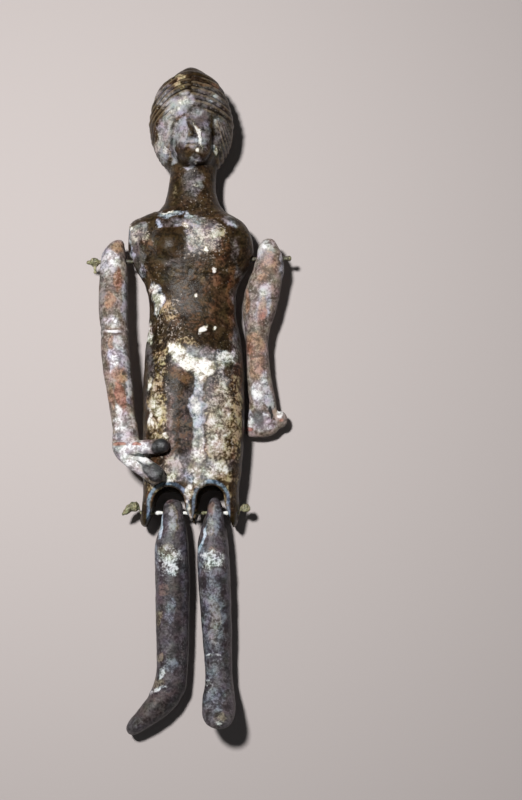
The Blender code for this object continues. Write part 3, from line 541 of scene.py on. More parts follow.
torsoPatches = {
    "grey": {
        "face": (198, 128, 16, 24, 0, 1.1), "hair right": (210, 98, 18, 18, 0, 0.8),
        "puff right": (222, 135, 9, 24, 0, 1.1), "neck": (194, 185, 11, 18, 0, 0.7),
        "cheek right": (207, 128, 7, 18, 0, 0.6), "collar": (172, 222, 15, 5, 0, 0.7),
        "shoulder facet": (137, 250, 8, 22, -8, 0.8), "flank": (178, 262, 14, 8, 0, 0.6),
        "waist": (200, 322, 22, 26, 0, 0.3), "thigh": (187, 425, 8, 50, 0, 0.9),
        # the right flank is painted light for the side the lamp leaves in shade
        "hip right": (222, 380, 11, 7, 0, 0.9), "right flank painted light": (237, 340, 7, 70, 0, 0.7),
        "side left": (150, 380, 5, 60, 0, 0.7),
    },
    # Stains; the jaw crease, the right temple, the nose's left side and the right edge are painted shade
    "stain": {
        "breast left": (168, 242, 17, 16, 0, 1.2), "chin": (192, 160, 17, 7, 0, 0.62),
        "neck": (172, 190, 10, 22, 0, 0.8), "ribs": (190, 275, 28, 18, 0, 0.95),
        "jaw crease": (213, 142, 2.4, 22, 0, 1.1), "breast right": (237, 247, 9, 17, 0, 0.5),
        "waist": (200, 310, 22, 24, 0, 0.98), "right edge painted shade and light": (241, 400, 4, 80, 0, 0.3),
        "hair": (162, 156, 4, 6, 0, 1.0), "nose left": (191.5, 130, 3, 8, -4, 0.7),
        "temple right": (213, 118, 4, 8, 30, 0.6), "lug left": (145, 514, 6, 9, 0, 1.0),
        "lug right": (233, 516, 5, 8, 0, 0.9), "crown": (192, 74, 14, 5, 0, 0.7),
        "waist left": (164, 290, 6, 20, 0, 0.6),
    },
    "rust": {
        "thigh edge": (158, 405, 9, 44, 0, 0.55), "crown left": (176, 88, 12, 3, -14, 0.7),
        "hip left": (179, 374, 13, 9, 20, 1.0), "thigh left": (170, 422, 5, 30, 0, 1.25),
        "breast right": (219, 243, 5, 5, 0, 0.8), "brow": (183, 116.5, 8, 3, -10, 1.1),
        "hair left": (168, 95, 8, 2, -28, 0.9), "hair lower": (164, 104, 6, 1.6, -32, 0.9),
        "crown right": (208, 84, 13, 2.2, 8, 0.6), "skirt left": (149, 498, 5, 8, 0, 0.8),
        "ribs": (198, 275, 36, 24, 0, 0.28), "belly": (205, 350, 12, 5, 0, 0.6),
        "waist": (192, 312, 36, 24, 0, 0.34), "chest right": (222, 250, 14, 16, 0, 0.5),
        "thighs": (190, 440, 50, 60, 0, 0.4), "knee right": (232, 452, 6, 10, 0, 0.6),
        # on the right edge and flank the rust tone is painted light for the side the lamp leaves in shade
        "right edge painted shade and light": (238, 400, 6, 60, 0, 0.75), "right flank painted light": (234, 300, 8, 40, 0, 0.95),
        "shoulder": (148, 240, 5, 8, 0, 0.7),
    },
    "ochre": {
        "thigh left": (158, 412, 9, 34, 0, 0.8), "waist left": (169, 310, 11, 12, 0, 0.45),
        "crown left": (180, 85, 8, 3.5, -8, 0.85), "band left": (178, 79.5, 9, 2, -12, 0.6),
        "chest right": (219, 233, 7, 5, 20, 0.9), "chest": (209, 240, 14, 12, 0, 0.5),
        "throat": (174, 187, 4, 18, 0, 0.2), "thigh right": (220, 425, 15, 50, 0, 0.95),
        # the right edge is painted light for the side the lamp leaves in shade
        "right edge painted shade and light": (237, 420, 6, 50, 0, 0.62), "skirt right": (222, 475, 16, 9, 10, 0.95),
        "knee": (172, 468, 12, 12, 0, 1.0), "skirt left": (155, 485, 10, 12, 0, 0.8),
        "shoulder": (142, 234, 8, 9, 0, 0.75), "hip left": (160, 360, 7, 22, 0, 0.6),
        "belly edge": (188, 343, 14, 5, 0, 0.55), "ribs": (188, 280, 30, 26, 0, 0.16),
        "puff left": (160, 142, 6, 12, 0, 0.45), "lug middle": (191, 497, 3, 12, 8, 0.9),
        "lug right": (229, 498, 4, 9, 0, 0.8),
    },
    "haze": {
        # the left cheek and eye carry pale haze and painted sheen together; the left crease is painted
        # light
        "cheek": (180, 134, 8, 14, 0, 0.85), "left crease painted light": (173.5, 149, 3.4, 13, 0, 1.1),
        "chin": (195, 160, 9, 5, 0, 0.42), "eye left": (182.5, 127, 6.5, 11, 0, 1.2),
        "puff left": (165, 137, 8.5, 30, 8, 0.85), "under the nose": (191, 140, 8, 4, 0, 0.8),
        "fringe": (178, 107, 13, 9, -30, 1.2), "over the brow": (187, 97, 8, 10, 0, 1.1),
        "brow": (191, 113, 10, 7, 10, 0.55), "cheek right": (206, 135, 5, 14, 0, 0.36),
        "under chin": (191, 167.5, 10, 2, 0, 0.9), "puff right": (222, 128, 7, 20, -20, 0.4),
        "lip": (190, 148, 6, 3, 0, 0.6), "hair right": (213, 100, 10, 12, 0, 0.28),
        "strands left": (165, 96, 12, 12, -30, 0.6), "chest": (203, 236, 20, 18, -20, 0.8),
        "collar": (190, 222, 16, 6, 0, 0.8), "shoulder left": (140, 232, 9, 12, 0, 0.7),
        "valley": (198, 420, 7, 62, 0, 1.5), "thigh right": (218, 410, 14, 60, 0, 0.55),
        "knees": (195, 468, 40, 16, 0, 0.7), "throat": (196, 186, 8, 14, 0, 0.3),
        "belly": (196, 360, 30, 16, 0, 0.7), "shoulder right": (230, 222, 12, 5, 30, 0.6),
        # the right edge is painted light for the side the lamp leaves in shade
        "right edge painted shade and light": (238, 310, 5, 60, 0, 0.5), "breast right": (236, 250, 8, 16, 0, 0.42),
        "thigh left": (170, 420, 6, 40, 0, 0.4),
    },
    "bluish": {
        "neck join": (172, 213.5, 13, 3.4, -3, 1.25), "join end": (191, 217, 6, 2.2, 25, 1.1),
        "join start": (159, 221, 4, 4, 0, 0.9), "shoulder facet": (132, 244, 2.4, 18, -8, 0.75),
        "facet foot": (143.5, 270, 2.6, 10, -12, 0.6), "belly right": (224, 356, 12, 9, 0, 0.85),
        "valley": (197, 410, 6, 46, 0, 1.2), "lug": (191, 474, 7, 7, 0, 1.0),
        "shoulder right": (233, 225, 6, 5, 40, 0.6), "waist left": (156.5, 300, 6, 18, -6, 0.9),
        # the two shines on the right of the hair are painted highlights
        "puff inner right": (215, 150, 2, 7, -8, 1.0), "shine right": (213, 96, 5, 2, 5, 1.0),
        "shine lower": (208, 103, 3, 2, 5, 0.9),
    },
    "slip": {
        "belly left": (177, 354, 15, 8.5, 52, 1.05), "belly": (190, 364, 13, 8, 35, 1.1),
        "belly right": (204, 371, 12, 11, -20, 1.05), "hip right": (225, 358, 11, 11, -25, 0.5),
        "valley high": (197.5, 392, 5, 30, 0, 0.4), "valley low": (198, 452, 7, 28, 0, 0.55),
        "valley foot": (198, 468, 9, 14, 0, 0.6), "lug": (199, 482, 8, 8, 0, 0.75),
        "waist left": (156.5, 300, 4.6, 16, -6, 0.72), "waist edge": (153, 290, 5, 3, 30, 0.6),
        "side upper": (150, 334, 2.4, 14, -4, 0.65), "side lower": (149, 384, 2.6, 7, 0, 1.0),
        "side knee": (152, 417, 2.8, 9, -24, 1.0), "bar side": (164, 433, 3, 4, 20, 1.1),
        "chest": (203, 238, 17, 15, -20, 0.38), "collar": (186, 226, 4, 5, -20, 1.0),
        "chest chip": (205.8, 250.5, 3.4, 2.4, 40, 1.6), "rib spot": (214.2, 268.5, 1.8, 3, 0, 1.3),
        "waist spot": (198.2, 295.3, 3, 2.4, -40, 1.3), "belly spot": (202.7, 329, 2.6, 4.4, 0, 1.1),
        "belly spot right": (213.8, 330, 2.6, 1.9, 10, 1.3), "shoulder": (133.5, 227, 3, 4, 0, 1.1),
        "join edge": (168, 210.8, 6, 1.3, 0, 1.2), "fringe": (184, 99, 8, 8, -20, 0.4),
        "temple": (173, 111, 7, 3.5, -35, 0.5), "lock left": (168, 152, 2.6, 9, -12, 0.45),
        "thigh right": (221, 415, 13, 50, 0, 0.34), "knee right": (216, 470, 14, 10, 0, 0.55),
        "hem left": (158, 482, 8, 4, -30, 0.95), "hem middle": (189, 492, 3.5, 10, -20, 0.8),
        # the nose, lip, chin and puff shines are painted highlights
        "nose shine": (199, 135, 1.7, 13.5, -13, 1.1), "lip shine": (195.3, 151.4, 2.6, 1.5, 0, 0.9),
        "chin shine": (198, 163, 1.5, 2, 0, 0.9), "puff shine": (216, 152, 1.3, 5, 8, 0.9),
        "neck spot": (195.5, 186.5, 2, 2, 0, 0.5), "thigh left": (156, 410, 6, 28, 0, 0.36),
        "knee left": (166, 478, 10, 6, 15, 0.7), "rim left": (190, 505, 1.2, 14, -6, 0.6),
    },
    # on the body the pale flecks are partly slip and grit, partly painted glints
    "flecks": {
        "chest": (203, 238, 26, 20, -15, 1.3), "shoulder left": (143, 235, 13, 14, 0, 0.8),
        "ribs": (190, 268, 34, 16, 0, 0.6), "thigh right": (222, 412, 17, 62, 0, 0.75),
        "thigh left": (160, 405, 11, 58, 0, 0.75), "neck": (196, 200, 14, 8, 0, 0.3),
        "waist": (172, 316, 20, 32, 0, 0.8),
    },
}


def aroundFace(x, y, half):
    middle = face["middle"]
    return np.hypot((x - middle[0]) / half[0], (y - middle[1]) / half[1])


def hairRelief(points, places):
    x, y, z = points.T
    outside = ramp(aroundFace(x, y, face["half"]), *hair["faceGap"])
    crown = ramp(y, *hair["crownFrom"]) * outside
    right = x > hair["parting"]
    share = np.abs(x - hair["parting"]) / hair["dropReach"]
    drop = np.where(right, hair["dropRight"], hair["dropLeft"]) * share ** hair["dropBow"]
    level = (y + drop - hair["strandFirst"]) / hair["strandPitch"] + np.where(right, 0.5, 0.0)
    level = level + wave(points, hair["waver"], hair["waverSeed"])
    ridge = 1.0 - np.abs(2.0 * (level - np.floor(level)) - 1.0) ** hair["strandEdge"]
    strands = hair["strandHeight"] * (ridge - 0.5)
    turns = level * 2 * math.pi * hair["fineLines"] + wave(points, hair["fineWaver"], hair["fineSeed"])
    strands += hair["fineHeight"] * np.sin(turns)
    top = 1.0 - ramp(y, *hair["strandsEnd"])
    worn = 1.0 - patchField(places, hair["worn"])
    front = ramp(z, *hair["frontFrom"])
    relief = crown * strands * top * worn * (hair["backShare"] + (1.0 - hair["backShare"]) * front)

    # The parting step and the band over the crown
    slope, uprightAt = hair["partSlope"]
    part = hump(x, hair["parting"] + slope * (y - uprightAt), hair["partHalf"])
    relief -= hair["partDepth"] * part * ramp(y, *hair["partFrom"]) * top * crown
    for height, place, bow, half in hair["bands"]:
        relief += height * hump(y, place - bow * x * x, half) * ramp(z, *hair["bandFrom"])

    # The puffs of hair that fall beside the face
    puff = outside * (1.0 - ramp(y, *hair["crownFrom"])) * ramp(y, *hair["puffFrom"]) * front
    puff = puff * ramp(np.abs(x), *hair["puffAside"])
    fanX, fanY = hair["fanFrom"]
    fan = np.degrees(np.arctan2(y - fanY, x - fanX)) / hair["fanPitch"]
    aside, down = hair["puffSlope"]
    fall = np.where(x > 0, fan, (aside * np.abs(x) + down * y) / hair["puffPitch"])
    fall = fall + wave(points, hair["puffWaver"], hair["puffSeed"])
    locks = 1.0 - np.abs(2.0 * (fall - np.floor(fall)) - 1.0) ** hair["lockEdge"]
    lockHeight = np.where(x > 0, hair["lockHeights"][1], hair["lockHeights"][0])
    return relief + puff * lockHeight * (locks - hair["lockMiddle"])


def faceRelief(points):
    # Worn features: brow, almond eyes, a long thin nose, a short mouth
    x, y, z = points.T
    aside = x - face["noseMiddle"] - face["noseLean"] * (y - face["noseLevel"])
    relief = face["noseHeight"] * hump(aside, 0.0, face["noseHalf"])
    relief = relief * ramp(y, *face["noseFoot"]) * (1.0 - ramp(y, *face["noseTop"]))
    depth, wide, place, high = face["footCut"]
    relief -= depth * hump(aside, 0.0, wide) * hump(y, place, high)
    depth, away, wide, place, high = face["wings"]
    relief -= depth * hump(np.abs(aside), away, wide) * hump(y, place, high)
    for side in (-1, 1):
        across = aside - side * face["eyeAside"]
        slant = face["eyeSlant"] * side * across
        lid = np.hypot(across / face["eyeHalf"][0], (y - face["eyePlace"] + slant) / face["eyeHalf"][1])
        relief += face["lidHeight"] * (1.0 - ramp(lid, *face["lidEdge"]))
        depth, away, wide = face["lidRim"]
        relief -= depth * hump(lid, away, wide)
        height, place, bow, flat, high = face["brow"]
        arch = place - bow * (np.abs(across) - flat) ** 2
        relief += height * hump(y, arch, high) * (1.0 - ramp(np.abs(across), *face["browEnd"]))
    width = 1.0 - ramp(np.abs(aside), *face["mouthEnd"])
    for height, place, bow, high in face["mouth"]:
        relief += height * hump(y, place + bow * aside ** 2, high) * width
    inFace = 1.0 - ramp(aroundFace(x, y, face["innerHalf"]), *face["innerEdge"])
    return relief * inFace * ramp(z, *face["from"])


def archRim(points, normals):
    # The pared rim round the arch over each leg, pale and bluish
    x, y, z = points.T
    rim = np.zeros(len(points))
    for middle, half, top in torso["arches"]:
        spring = top - half
        away = np.where(y > spring, np.hypot(x - middle, y - spring), np.abs(x - middle)) - half
        rim = np.maximum(rim, torso["rimStrength"] * hump(away, torso["rimPlace"], torso["rimWidth"]))
    shown = ramp(z, *torso["rimFrom"]) * ramp(normals[:, 2], *torso["rimFacing"])
    return rim * shown * (y > torso["hemEnd"])


def makeTorso():
    piece = copyOfNode("torso", "body")
    remesh(piece, torso["voxel"])
    points, edges = pointsOf(piece), edgesOf(piece)
    x, y, z = points.T
    around = aroundFace(x, y, face["half"])
    inFace = (1.0 - ramp(around, *torso["faceEdge"])) * ramp(z, *torso["faceFrom"])
    limit = torso["roundOff"] + (torso["faceRoundOff"] - torso["roundOff"]) * inFace
    crease = hump(around, 1.0, torso["creaseHalf"]) * ramp(z, *torso["creaseFrom"])
    crease = crease * (1.0 - torso["creaseLess"] * ramp(x, *torso["creaseFade"]))
    limit = limit + torso["creaseRoundOff"] * crease
    points = relaxed(points, edges, torso["rounds"], limit)
    putPoints(piece, points)
    normals = normalsOf(piece)
    hidden = underCover(piece, points, normals)
    places = photoPlaces(points)

    move = hairRelief(points, places) + faceRelief(points)
    quiet = 1.0 - torso["faceQuiet"] * inFace
    move += quiet * wornBy(points, torso["wear"], torso["wearSeed"])

    # The crack of the neck's mend, with a low raised lip beside part of it
    join = lineDistance(places, neckMend["line"])
    shown = ~hidden & (z > torso["frontFrom"])
    depth, half = neckMend["crack"]
    move -= depth * hump(join, 0.0, half) * shown
    height, away, half = neckMend["lip"]
    move += height * hump(join, away, half) * shown * ramp(places[:, 0], *neckMend["lipEnd"])

    # The crease under the jaw, and the ridge where the shoulder was pared flat for the arm
    depth, half = jaw["crease"]
    move -= depth * hump(lineDistance(places, jaw["line"]), 0.0, half) * (z > jaw["from"])
    height, half = paredShoulder["ridge"]
    move += height * hump(lineDistance(places, paredShoulder["line"]), 0.0, half) * shown
    putPoints(piece, points + normals * move[:, None])

    facing = ramp(normals[:, 2], *torso["facing"]) * ~hidden
    torn = raggedPlaces(points)
    for layer, patches in torsoPatches.items():
        field = patchField(torn, patches) * facing
        if layer == "flecks":
            field = field - torso["fleckFree"] * patchField(torn, torsoPatches["stain"])
        addField(piece, layer, field + wave(points, torso["fieldNoise"], len(layer)))
    addField(piece, "rim", archRim(points, normals))
    addHollowShadeAndWearFields(piece, torso["hollowShadeAndRubRounds"], patchField(places, torsoPatches["stain"]))
    return piece


bodyLook = {
    "broad": 14.0, "middle": 2.8, "fine": 0.8, "speck": 0.4, "tintSize": 3.2, "tint": 0.25,
    "clay": ("#20160c", "#4b3a26"), "mottle": 0.28, "rough": 0.36, "gloss": 0.17, "grainHeight": 0.12,
    "lumpHeight": 0.16, "fleck": 0.75, "fleckReach": 0.12, "flecks": ("#6d5c49", "#d6c8bc"),
    "fleckCover": 0.65, "speckDark": 0.36, "speckPale": 0.67, "grit": "#8d7c66", "gritCover": 0.2,
    "dirtAndShade": "#150e07", "dirtAndShadeCover": 0.68, "rub": "#8f7d62", "rubCover": 0.4,
    "layers": {
        "grey": ("#2f2a29", "#6a6564", 1.6, 0.42, 0.75, 0.40, 0.0),
        "stain": ("#20170b", "#3d2f1c", 0.8, 0.3, 0.92, 0.32, -0.02),
        "rust": ("#3a2110", "#735138", 1.9, 0.42, 0.8, 0.46, 0.0),
        "ochre": ("#57421f", "#c9b791", 2.4, 0.44, 0.85, 0.5, 0.02),
        "haze": ("#918c8d", "#c6c4ca", 1.3, 0.5, 0.66, 0.40, 0.0),
        "bluish": ("#4f565b", "#c3c9d2", 1.7, 0.42, 0.8, 0.45, 0.01),
        "rim": ("#3f4a57", "#8ca1b8", 0.7, 0.36, 0.92, 0.45, 0.0),
        "slip": ("#b3a68d", "#f8f5ef", 2.4, 0.6, 0.96, 0.7, 0.05),
    },
}


# Arms: the image-left one holds a pair of clappers, the other has an empty open hand
limbPatches = {
    "arm_right": {
        "haze": {
            "top": (111, 262, 10, 14, 0, 0.9), "forearm": (116, 355, 9, 22, 0, 0.9),
            "elbow": (112, 322, 9, 8, 0, 0.6), "hand": (124, 425, 12, 14, 0, 0.8),
            "bars": (138, 458, 28, 19, 25, 1.3),
        },
        "bluish": {
            "forearm": (117, 357, 9, 16, 0, 0.8), "hand": (120, 436, 9, 4, 0, 1.0),
            "shoulder": (103, 256, 5, 14, 10, 1.1), "inner edge": (128, 375, 4, 35, -6, 1.0),
            "upper inner": (125, 300, 4, 26, 0, 0.9), "lower bar edge": (128, 465, 20, 5, 40, 1.0),
        },
        "ochre": {
            "upper": (117, 279, 4, 13, 0, 1.1), "elbow": (110, 300, 5, 9, 0, 1.0),
            "under mend": (112, 342, 3, 7, 0, 1.0), "forearm": (120, 374, 8, 8, 20, 1.0),
            "wrist": (111, 398, 3, 14, -8, 0.8), "top": (117, 246, 6, 7, 0, 0.8),
        },
        "rust": {
            "forearm": (120, 394, 7, 13, -8, 1.2), "dash": (121, 444, 7, 2.2, -4, 1.6),
            "second dash": (136, 443.5, 5, 2.2, 0, 1.6), "upper": (118, 272, 2.4, 6, 0, 0.8),
        },
        "slip": {
            "mend": (111.5, 331.6, 9.5, 1.5, -2, 1.6), "wrist": (119, 424, 6, 8, -30, 0.7),
            "upper bar": (136, 447, 15, 6, 0, 0.95), "lower bar": (131, 460, 17, 7, 38, 0.95),
            "shoulder": (114, 259, 7, 6, 20, 0.8), "elbow": (113.5, 321, 2.4, 3.4, 0, 1.0),
            "forearm": (114, 364, 5, 12, 0, 0.6), "low forearm": (118, 409, 4, 8, -16, 0.7),
            # the inner bar is a painted highlight
            "inner bar": (146, 460, 12, 2.4, 38, 1.3),
        },
        "stain": {
            "upper bar end": (160, 447, 10, 9, 0, 1.6), "lower bar end": (153, 472, 12, 9, 36, 1.4),
            # the bar gap is painted shadow between the clappers
            "elbow": (124, 371, 2, 3, 0, 0.55), "bar gap": (141, 455, 14, 1.2, 8, 1.2),
            "lower bar streak": (142, 464, 11, 1.6, 38, 0.8),
        },
        "grey": {"outer edge": (102, 300, 3, 60, 2, 0.9), "hand": (132, 432, 10, 5, 0, 0.9)},
    },
    "arm_left": {
        "haze": {
            "upper": (263, 300, 8, 22, 10, 0.9), "wrist": (260, 393, 9, 16, 0, 1.0),
            "top": (266, 252, 10, 14, 0, 1.0), "forearm": (258, 360, 8, 18, 0, 0.5),
            "hand": (262, 424, 16, 9, 0, 0.6),
        },
        "bluish": {
            "upper": (266, 305, 6, 16, 10, 0.8), "wrist": (270, 400, 5, 10, -10, 1.1),
            "outer edge": (283, 265, 4, 16, 0, 0.9), "palm": (250, 416, 4, 8, 0, 0.6),
        },
        "ochre": {
            "shoulder": (269, 262, 9, 13, 0, 0.7), "elbow": (256, 345, 9, 14, 0, 0.85),
            "forearm": (257, 366, 8, 16, 0, 0.8), "upper": (262, 308, 5, 14, 0, 0.8),
            "inner": (247, 302, 3, 14, 0, 0.9), "under shoulder": (263, 279, 6, 7, 0, 0.7),
        },
        "rust": {
            "knob end": (282, 422, 2.4, 2, 0, 1.1), "edge": (248, 430, 4.4, 2.2, 10, 1.6),
            "elbow": (252, 352, 5, 9, 0, 0.6), "upper": (262, 320, 4, 9, 0, 0.5),
        },
        "slip": {
            "wrist": (258, 392, 6, 12, 0, 0.6), "palm": (249, 424, 4, 8, 20, 1.1),
            "knob": (280, 414, 3, 5, 0, 1.2), "upper": (261, 300, 4, 10, 10, 0.55),
            "shoulder": (266, 248, 5, 6, 20, 0.5), "hand edge": (268, 427, 5, 3, 0, 0.8),
            "middle": (262, 378, 4, 8, 0, 0.7), "hand": (266, 416, 3, 5, 0, 0.8),
        },
        "stain": {
            "hand": (259, 418, 7, 9, -20, 0.6), "shoulder": (272, 271, 5, 6, 0, 0.35),
            # the knob gap is painted shadow beside the knob
            "knob gap": (271, 412, 1.4, 7, -10, 1.2),
        },
        "grey": {"inner edge": (247, 320, 3, 50, 4, 0.6), "palm": (259, 418, 14, 10, 0, 1.0)},
    },
    "leg_right": {
        "stain": {
            "shin": (176, 600, 8, 60, 0, 0.7), "heel": (176, 690, 8, 12, 0, 0.6),
            # the dark foot is partly painted shade for the dimmer light at the foot end
            "foot": (152, 708, 24, 12, -38, 1.25),
        },
        "ochre": {
            "tenon": (173, 520, 5, 18, 0, 1.3), "knee": (168, 552, 10, 10, 0, 1.0),
            "calf": (160, 618, 4, 10, 0, 0.9), "ankle": (161, 658, 3, 5, 0, 0.9),
            "instep": (158, 683, 8, 6, 0, 0.8),
        },
        "rust": {
            "tenon": (170, 501, 4, 4, 0, 0.8), "shin": (163, 590, 8, 8, 0, 0.7),
            "foot": (160, 700, 12, 6, -30, 0.2),
        },
        "rim": {"tenon edge": (160, 522, 2.6, 17, 6, 1.5)},
        "bluish": {
            "side": (155.5, 552, 2.5, 16, 0, 1.0), "tenon": (172, 522, 5, 16, 0, 0.8),
            "shin": (171, 610, 6, 14, 0, 0.8), "ankle": (170, 664, 8, 8, 0, 0.7),
            "toe": (137, 722, 8, 5, -35, 0.35),
        },
        "slip": {
            "knee": (168, 560, 15, 17, 0, 0.5), "knee right": (175, 569, 4, 8, 0, 0.6),
            "ankle": (163, 672, 3, 6, 20, 1.0), "instep": (160, 689, 10, 1.8, -18, 0.8),
            "instep tip": (149, 693, 4, 1.8, -15, 0.7),
        },
        # the grey right side is painted shade on the side away from the lamp
        "grey": {"side": (183, 570, 4, 50, 0, 0.9)},
    },
    "leg_left": {
        "stain": {"shin": (224, 620, 5, 50, 0, 0.6)},
        "ochre": {
            "tenon": (210, 528, 5, 9, 0, 1.1), "shin": (214, 622, 7, 24, 0, 1.0),
            "foot": (220, 716, 8, 7, 0, 0.7),
        },
        "rust": {
            "tenon": (211, 510, 3.4, 9, 8, 1.3), "knee": (212, 551, 5, 5, 0, 1.1),
            "ankle": (213, 640, 6, 6, 0, 0.7),
        },
        "bluish": {
            "side": (201, 556, 3, 22, 8, 1.1), "tenon side": (216, 520, 4, 16, 0, 1.0),
            "tenon": (209, 525, 5, 12, 0, 0.7), "foot": (214, 700, 12, 16, 0, 0.6),
            "shin": (213, 625, 14, 70, 0, 0.6),
        },
        "slip": {
            "knee": (211, 559, 13, 10, 0, 0.55), "knee low": (206, 568, 7, 6, 0, 0.5),
            "ring": (213, 656, 11, 1.6, 3, 0.5), "ankle": (207, 688, 5, 9, 20, 0.35),
            "toe": (219, 722, 5, 3, 0, 0.5),
        },
        "rim": {"tenon edge": (202, 540, 2, 14, 14, 0.9)},
        # the grey right side is painted shade on the side away from the lamp
        "grey": {"side": (228, 580, 4, 60, 0, 0.9)},
    },
}
limb = {
    "voxel": 0.30,
    "rounds": 50,
    "roundOff": 0.32,
    "wear": ((4.0, 0.12), (1.6, 0.07), (0.7, 0.035)),
    "wearSeed": 20,
    "hollowShadeAndRubRounds": {"rounds": 6, "depth": 0.06},
    "crustHeight": 0.16,
    "crustFacing": (-0.1, 0.2),
    "crustEven": 0.6,
    "crustLumps": 1.1,
    "crustSeed": 31,
    "facing": (-0.15, 0.2),
    "torn": 0.6,  # share of the ragged places
    "fieldNoise": (0.14, 6.0),
    "flecks": 0.4,
    "fleckNoise": (0.6, 7.0),
    "fleckSeed": 71,
    "fleckFree": 0.9,
}
forearmMend = {
    "line": ((100, 333), (108, 331.5), (116, 330.5), (128, 331)),
    "ridge": (0.18, 2.2),
    "groove": (0.10, 4.5, 1.4),  # depth, how far from the ridge, half width
}
armLook = {
    "broad": 11.0, "middle": 2.4, "fine": 0.7, "speck": 0.38, "tintSize": 3.0, "tint": 0.22,
    "clay": ("#57493f", "#ab9a90"), "mottle": 0.18, "rough": 0.55, "gloss": 0.3, "grainHeight": 0.12,
    "lumpHeight": 0.14, "fleck": 0.7, "fleckReach": 0.10, "flecks": ("#94877f", "#dcd4d1"),
    "fleckCover": 0.4, "speckDark": 0.36, "speckPale": 0.67, "grit": "#d4cbc8", "gritCover": 0.25,
    "dirtAndShade": "#1f1510", "dirtAndShadeCover": 0.7, "rub": "#cdc3bf", "rubCover": 0.35,
    "layers": {
        "grey": ("#443e3e", "#8b8483", 1.5, 0.42, 0.75, 0.5, 0.0),
        "haze": ("#948d8f", "#dcd8dc", 1.5, 0.5, 0.75, 0.5, 0.0),
        "bluish": ("#736e76", "#c9c6ce", 1.8, 0.42, 0.75, 0.5, 0.0),
        "slip": ("#b4aeac", "#ffffff", 1.8, 0.58, 0.92, 0.6, 0.03),
        "ochre": ("#6b4526", "#ab8468", 2.4, 0.62, 0.8, 0.6, 0.0),
        "rust": ("#6b3a26", "#ab7260", 1.8, 0.5, 0.85, 0.6, 0.0),
        "stain": ("#0a0a09", "#26292a", 1.2, 0.34, 0.94, 0.36, -0.02),
    },
}
# The legs' tones are set darker, partly painted shade for the dimmer light towards the feet.
legLook = {
    "broad": 11.0, "middle": 2.4, "fine": 0.7, "speck": 0.38, "tintSize": 3.0, "tint": 0.22,
    "clay": ("#332d2f", "#645d61"), "mottle": 0.14, "rough": 0.42, "gloss": 0.27, "grainHeight": 0.10,
    "lumpHeight": 0.12, "fleck": 0.7, "fleckReach": 0.08, "flecks": ("#6d676b", "#a5a1a5"),
    "fleckCover": 0.3, "speckDark": 0.36, "speckPale": 0.67, "grit": "#98949a", "gritCover": 0.2,
    "dirtAndShade": "#171211", "dirtAndShadeCover": 0.7, "rub": "#7c777a", "rubCover": 0.3,
    "layers": {
        "grey": ("#343136", "#5f5b64", 1.5, 0.42, 0.75, 0.42, 0.0),
        "stain": ("#241c19", "#4a403c", 1.3, 0.44, 0.65, 0.4, 0.0),
        "rust": ("#432e24", "#82685c", 1.8, 0.44, 0.6, 0.46, 0.0),
        "ochre": ("#4b3f2d", "#9a8f78", 1.8, 0.44, 0.6, 0.46, 0.01),
        "bluish": ("#545861", "#989faa", 1.6, 0.44, 0.55, 0.4, 0.0),
        "rim": ("#7d8c9b", "#d3e1ee", 0.8, 0.3, 0.94, 0.4, 0.02),
        "slip": ("#8b908d", "#eef2f4", 2.8, 0.42, 0.85, 0.45, 0.06),
    },
}


def makeLimb(node, look):
    piece, points, normals, places = roundedCopy(node, node + "_clay", limb)
    patches = limbPatches[node]
    move = wornBy(points, limb["wear"], limb["wearSeed"] + len(node))
    crust = patchField(places, patches["slip"]) * ramp(normals[:, 2], *limb["crustFacing"])
    lumps = limb["crustEven"] + roughness(points, limb["crustLumps"], limb["crustSeed"])
    move += limb["crustHeight"] * crust * lumps
    if node == "arm_right":
        mend = lineDistance(places, forearmMend["line"])
        height, half = forearmMend["ridge"]
        move += height * hump(mend, 0.0, half)
        depth, away, half = forearmMend["groove"]
        move -= depth * hump(mend, away, half)
    putPoints(piece, points + normals * move[:, None])
    facing = ramp(normals[:, 2], *limb["facing"])
    torn = limb["torn"] * raggedPlaces(points) + (1.0 - limb["torn"]) * places
    for layer in look["layers"]:
        field = patchField(torn, patches[layer]) * facing
        addField(piece, layer, field + wave(points, limb["fieldNoise"], len(layer)))
    stainedAndShaded = patchField(places, patches["stain"])
    flecks = limb["flecks"] + wave(points, limb["fleckNoise"], limb["fleckSeed"])
    addField(piece, "flecks", flecks - limb["fleckFree"] * stainedAndShaded)
    addHollowShadeAndWearFields(piece, limb["hollowShadeAndRubRounds"], stainedAndShaded)
    return piece


# Pins: old brass wire, twisted at the ends, with blobs of white filler beside the legs
pin = {
    "voxel": 0.11,
    "rounds": 16,
    "roundOff": 0.14,
    "wear": ((1.2, 0.08), (0.5, 0.05)),
    "wearSeed": 40,
    "lumps": ((1.7, 0.30), (0.8, 0.14)),
    "lumpsFrom": {"hip_pin": 13.2, "shoulder_pin": 26.5},  # from the middle of the pin
    "lumpsGrow": 1.5,
    "lumpSeed": 45,
    "fleckNoise": (0.5, 2.0),
    "fleckSeed": 72,
    "hollowShadeAndRubRounds": {"rounds": 5, "depth": 0.03},
}
pinPatches = {
    "hip_pin": {
        "stain": {},
        "slip": {
            "left of leg": (158.8, 513.5, 4, 4, 0, 1.3), "inner": (183, 515.5, 6, 4.5, 0, 1.3),
            "right of leg": (223.5, 513, 5, 4, 0, 1.3),
        },
    },
    "shoulder_pin": {
        # the two gaps beside the body are painted shadow on the wire
        "stain": {
            "right end": (289, 257, 7, 6, 0, 1.2), "left gap": (130, 261, 6, 5, 0, 1.2),
            "right gap": (252, 258, 8, 5, 0, 1.2),
        },
        "slip": {},
    },
}
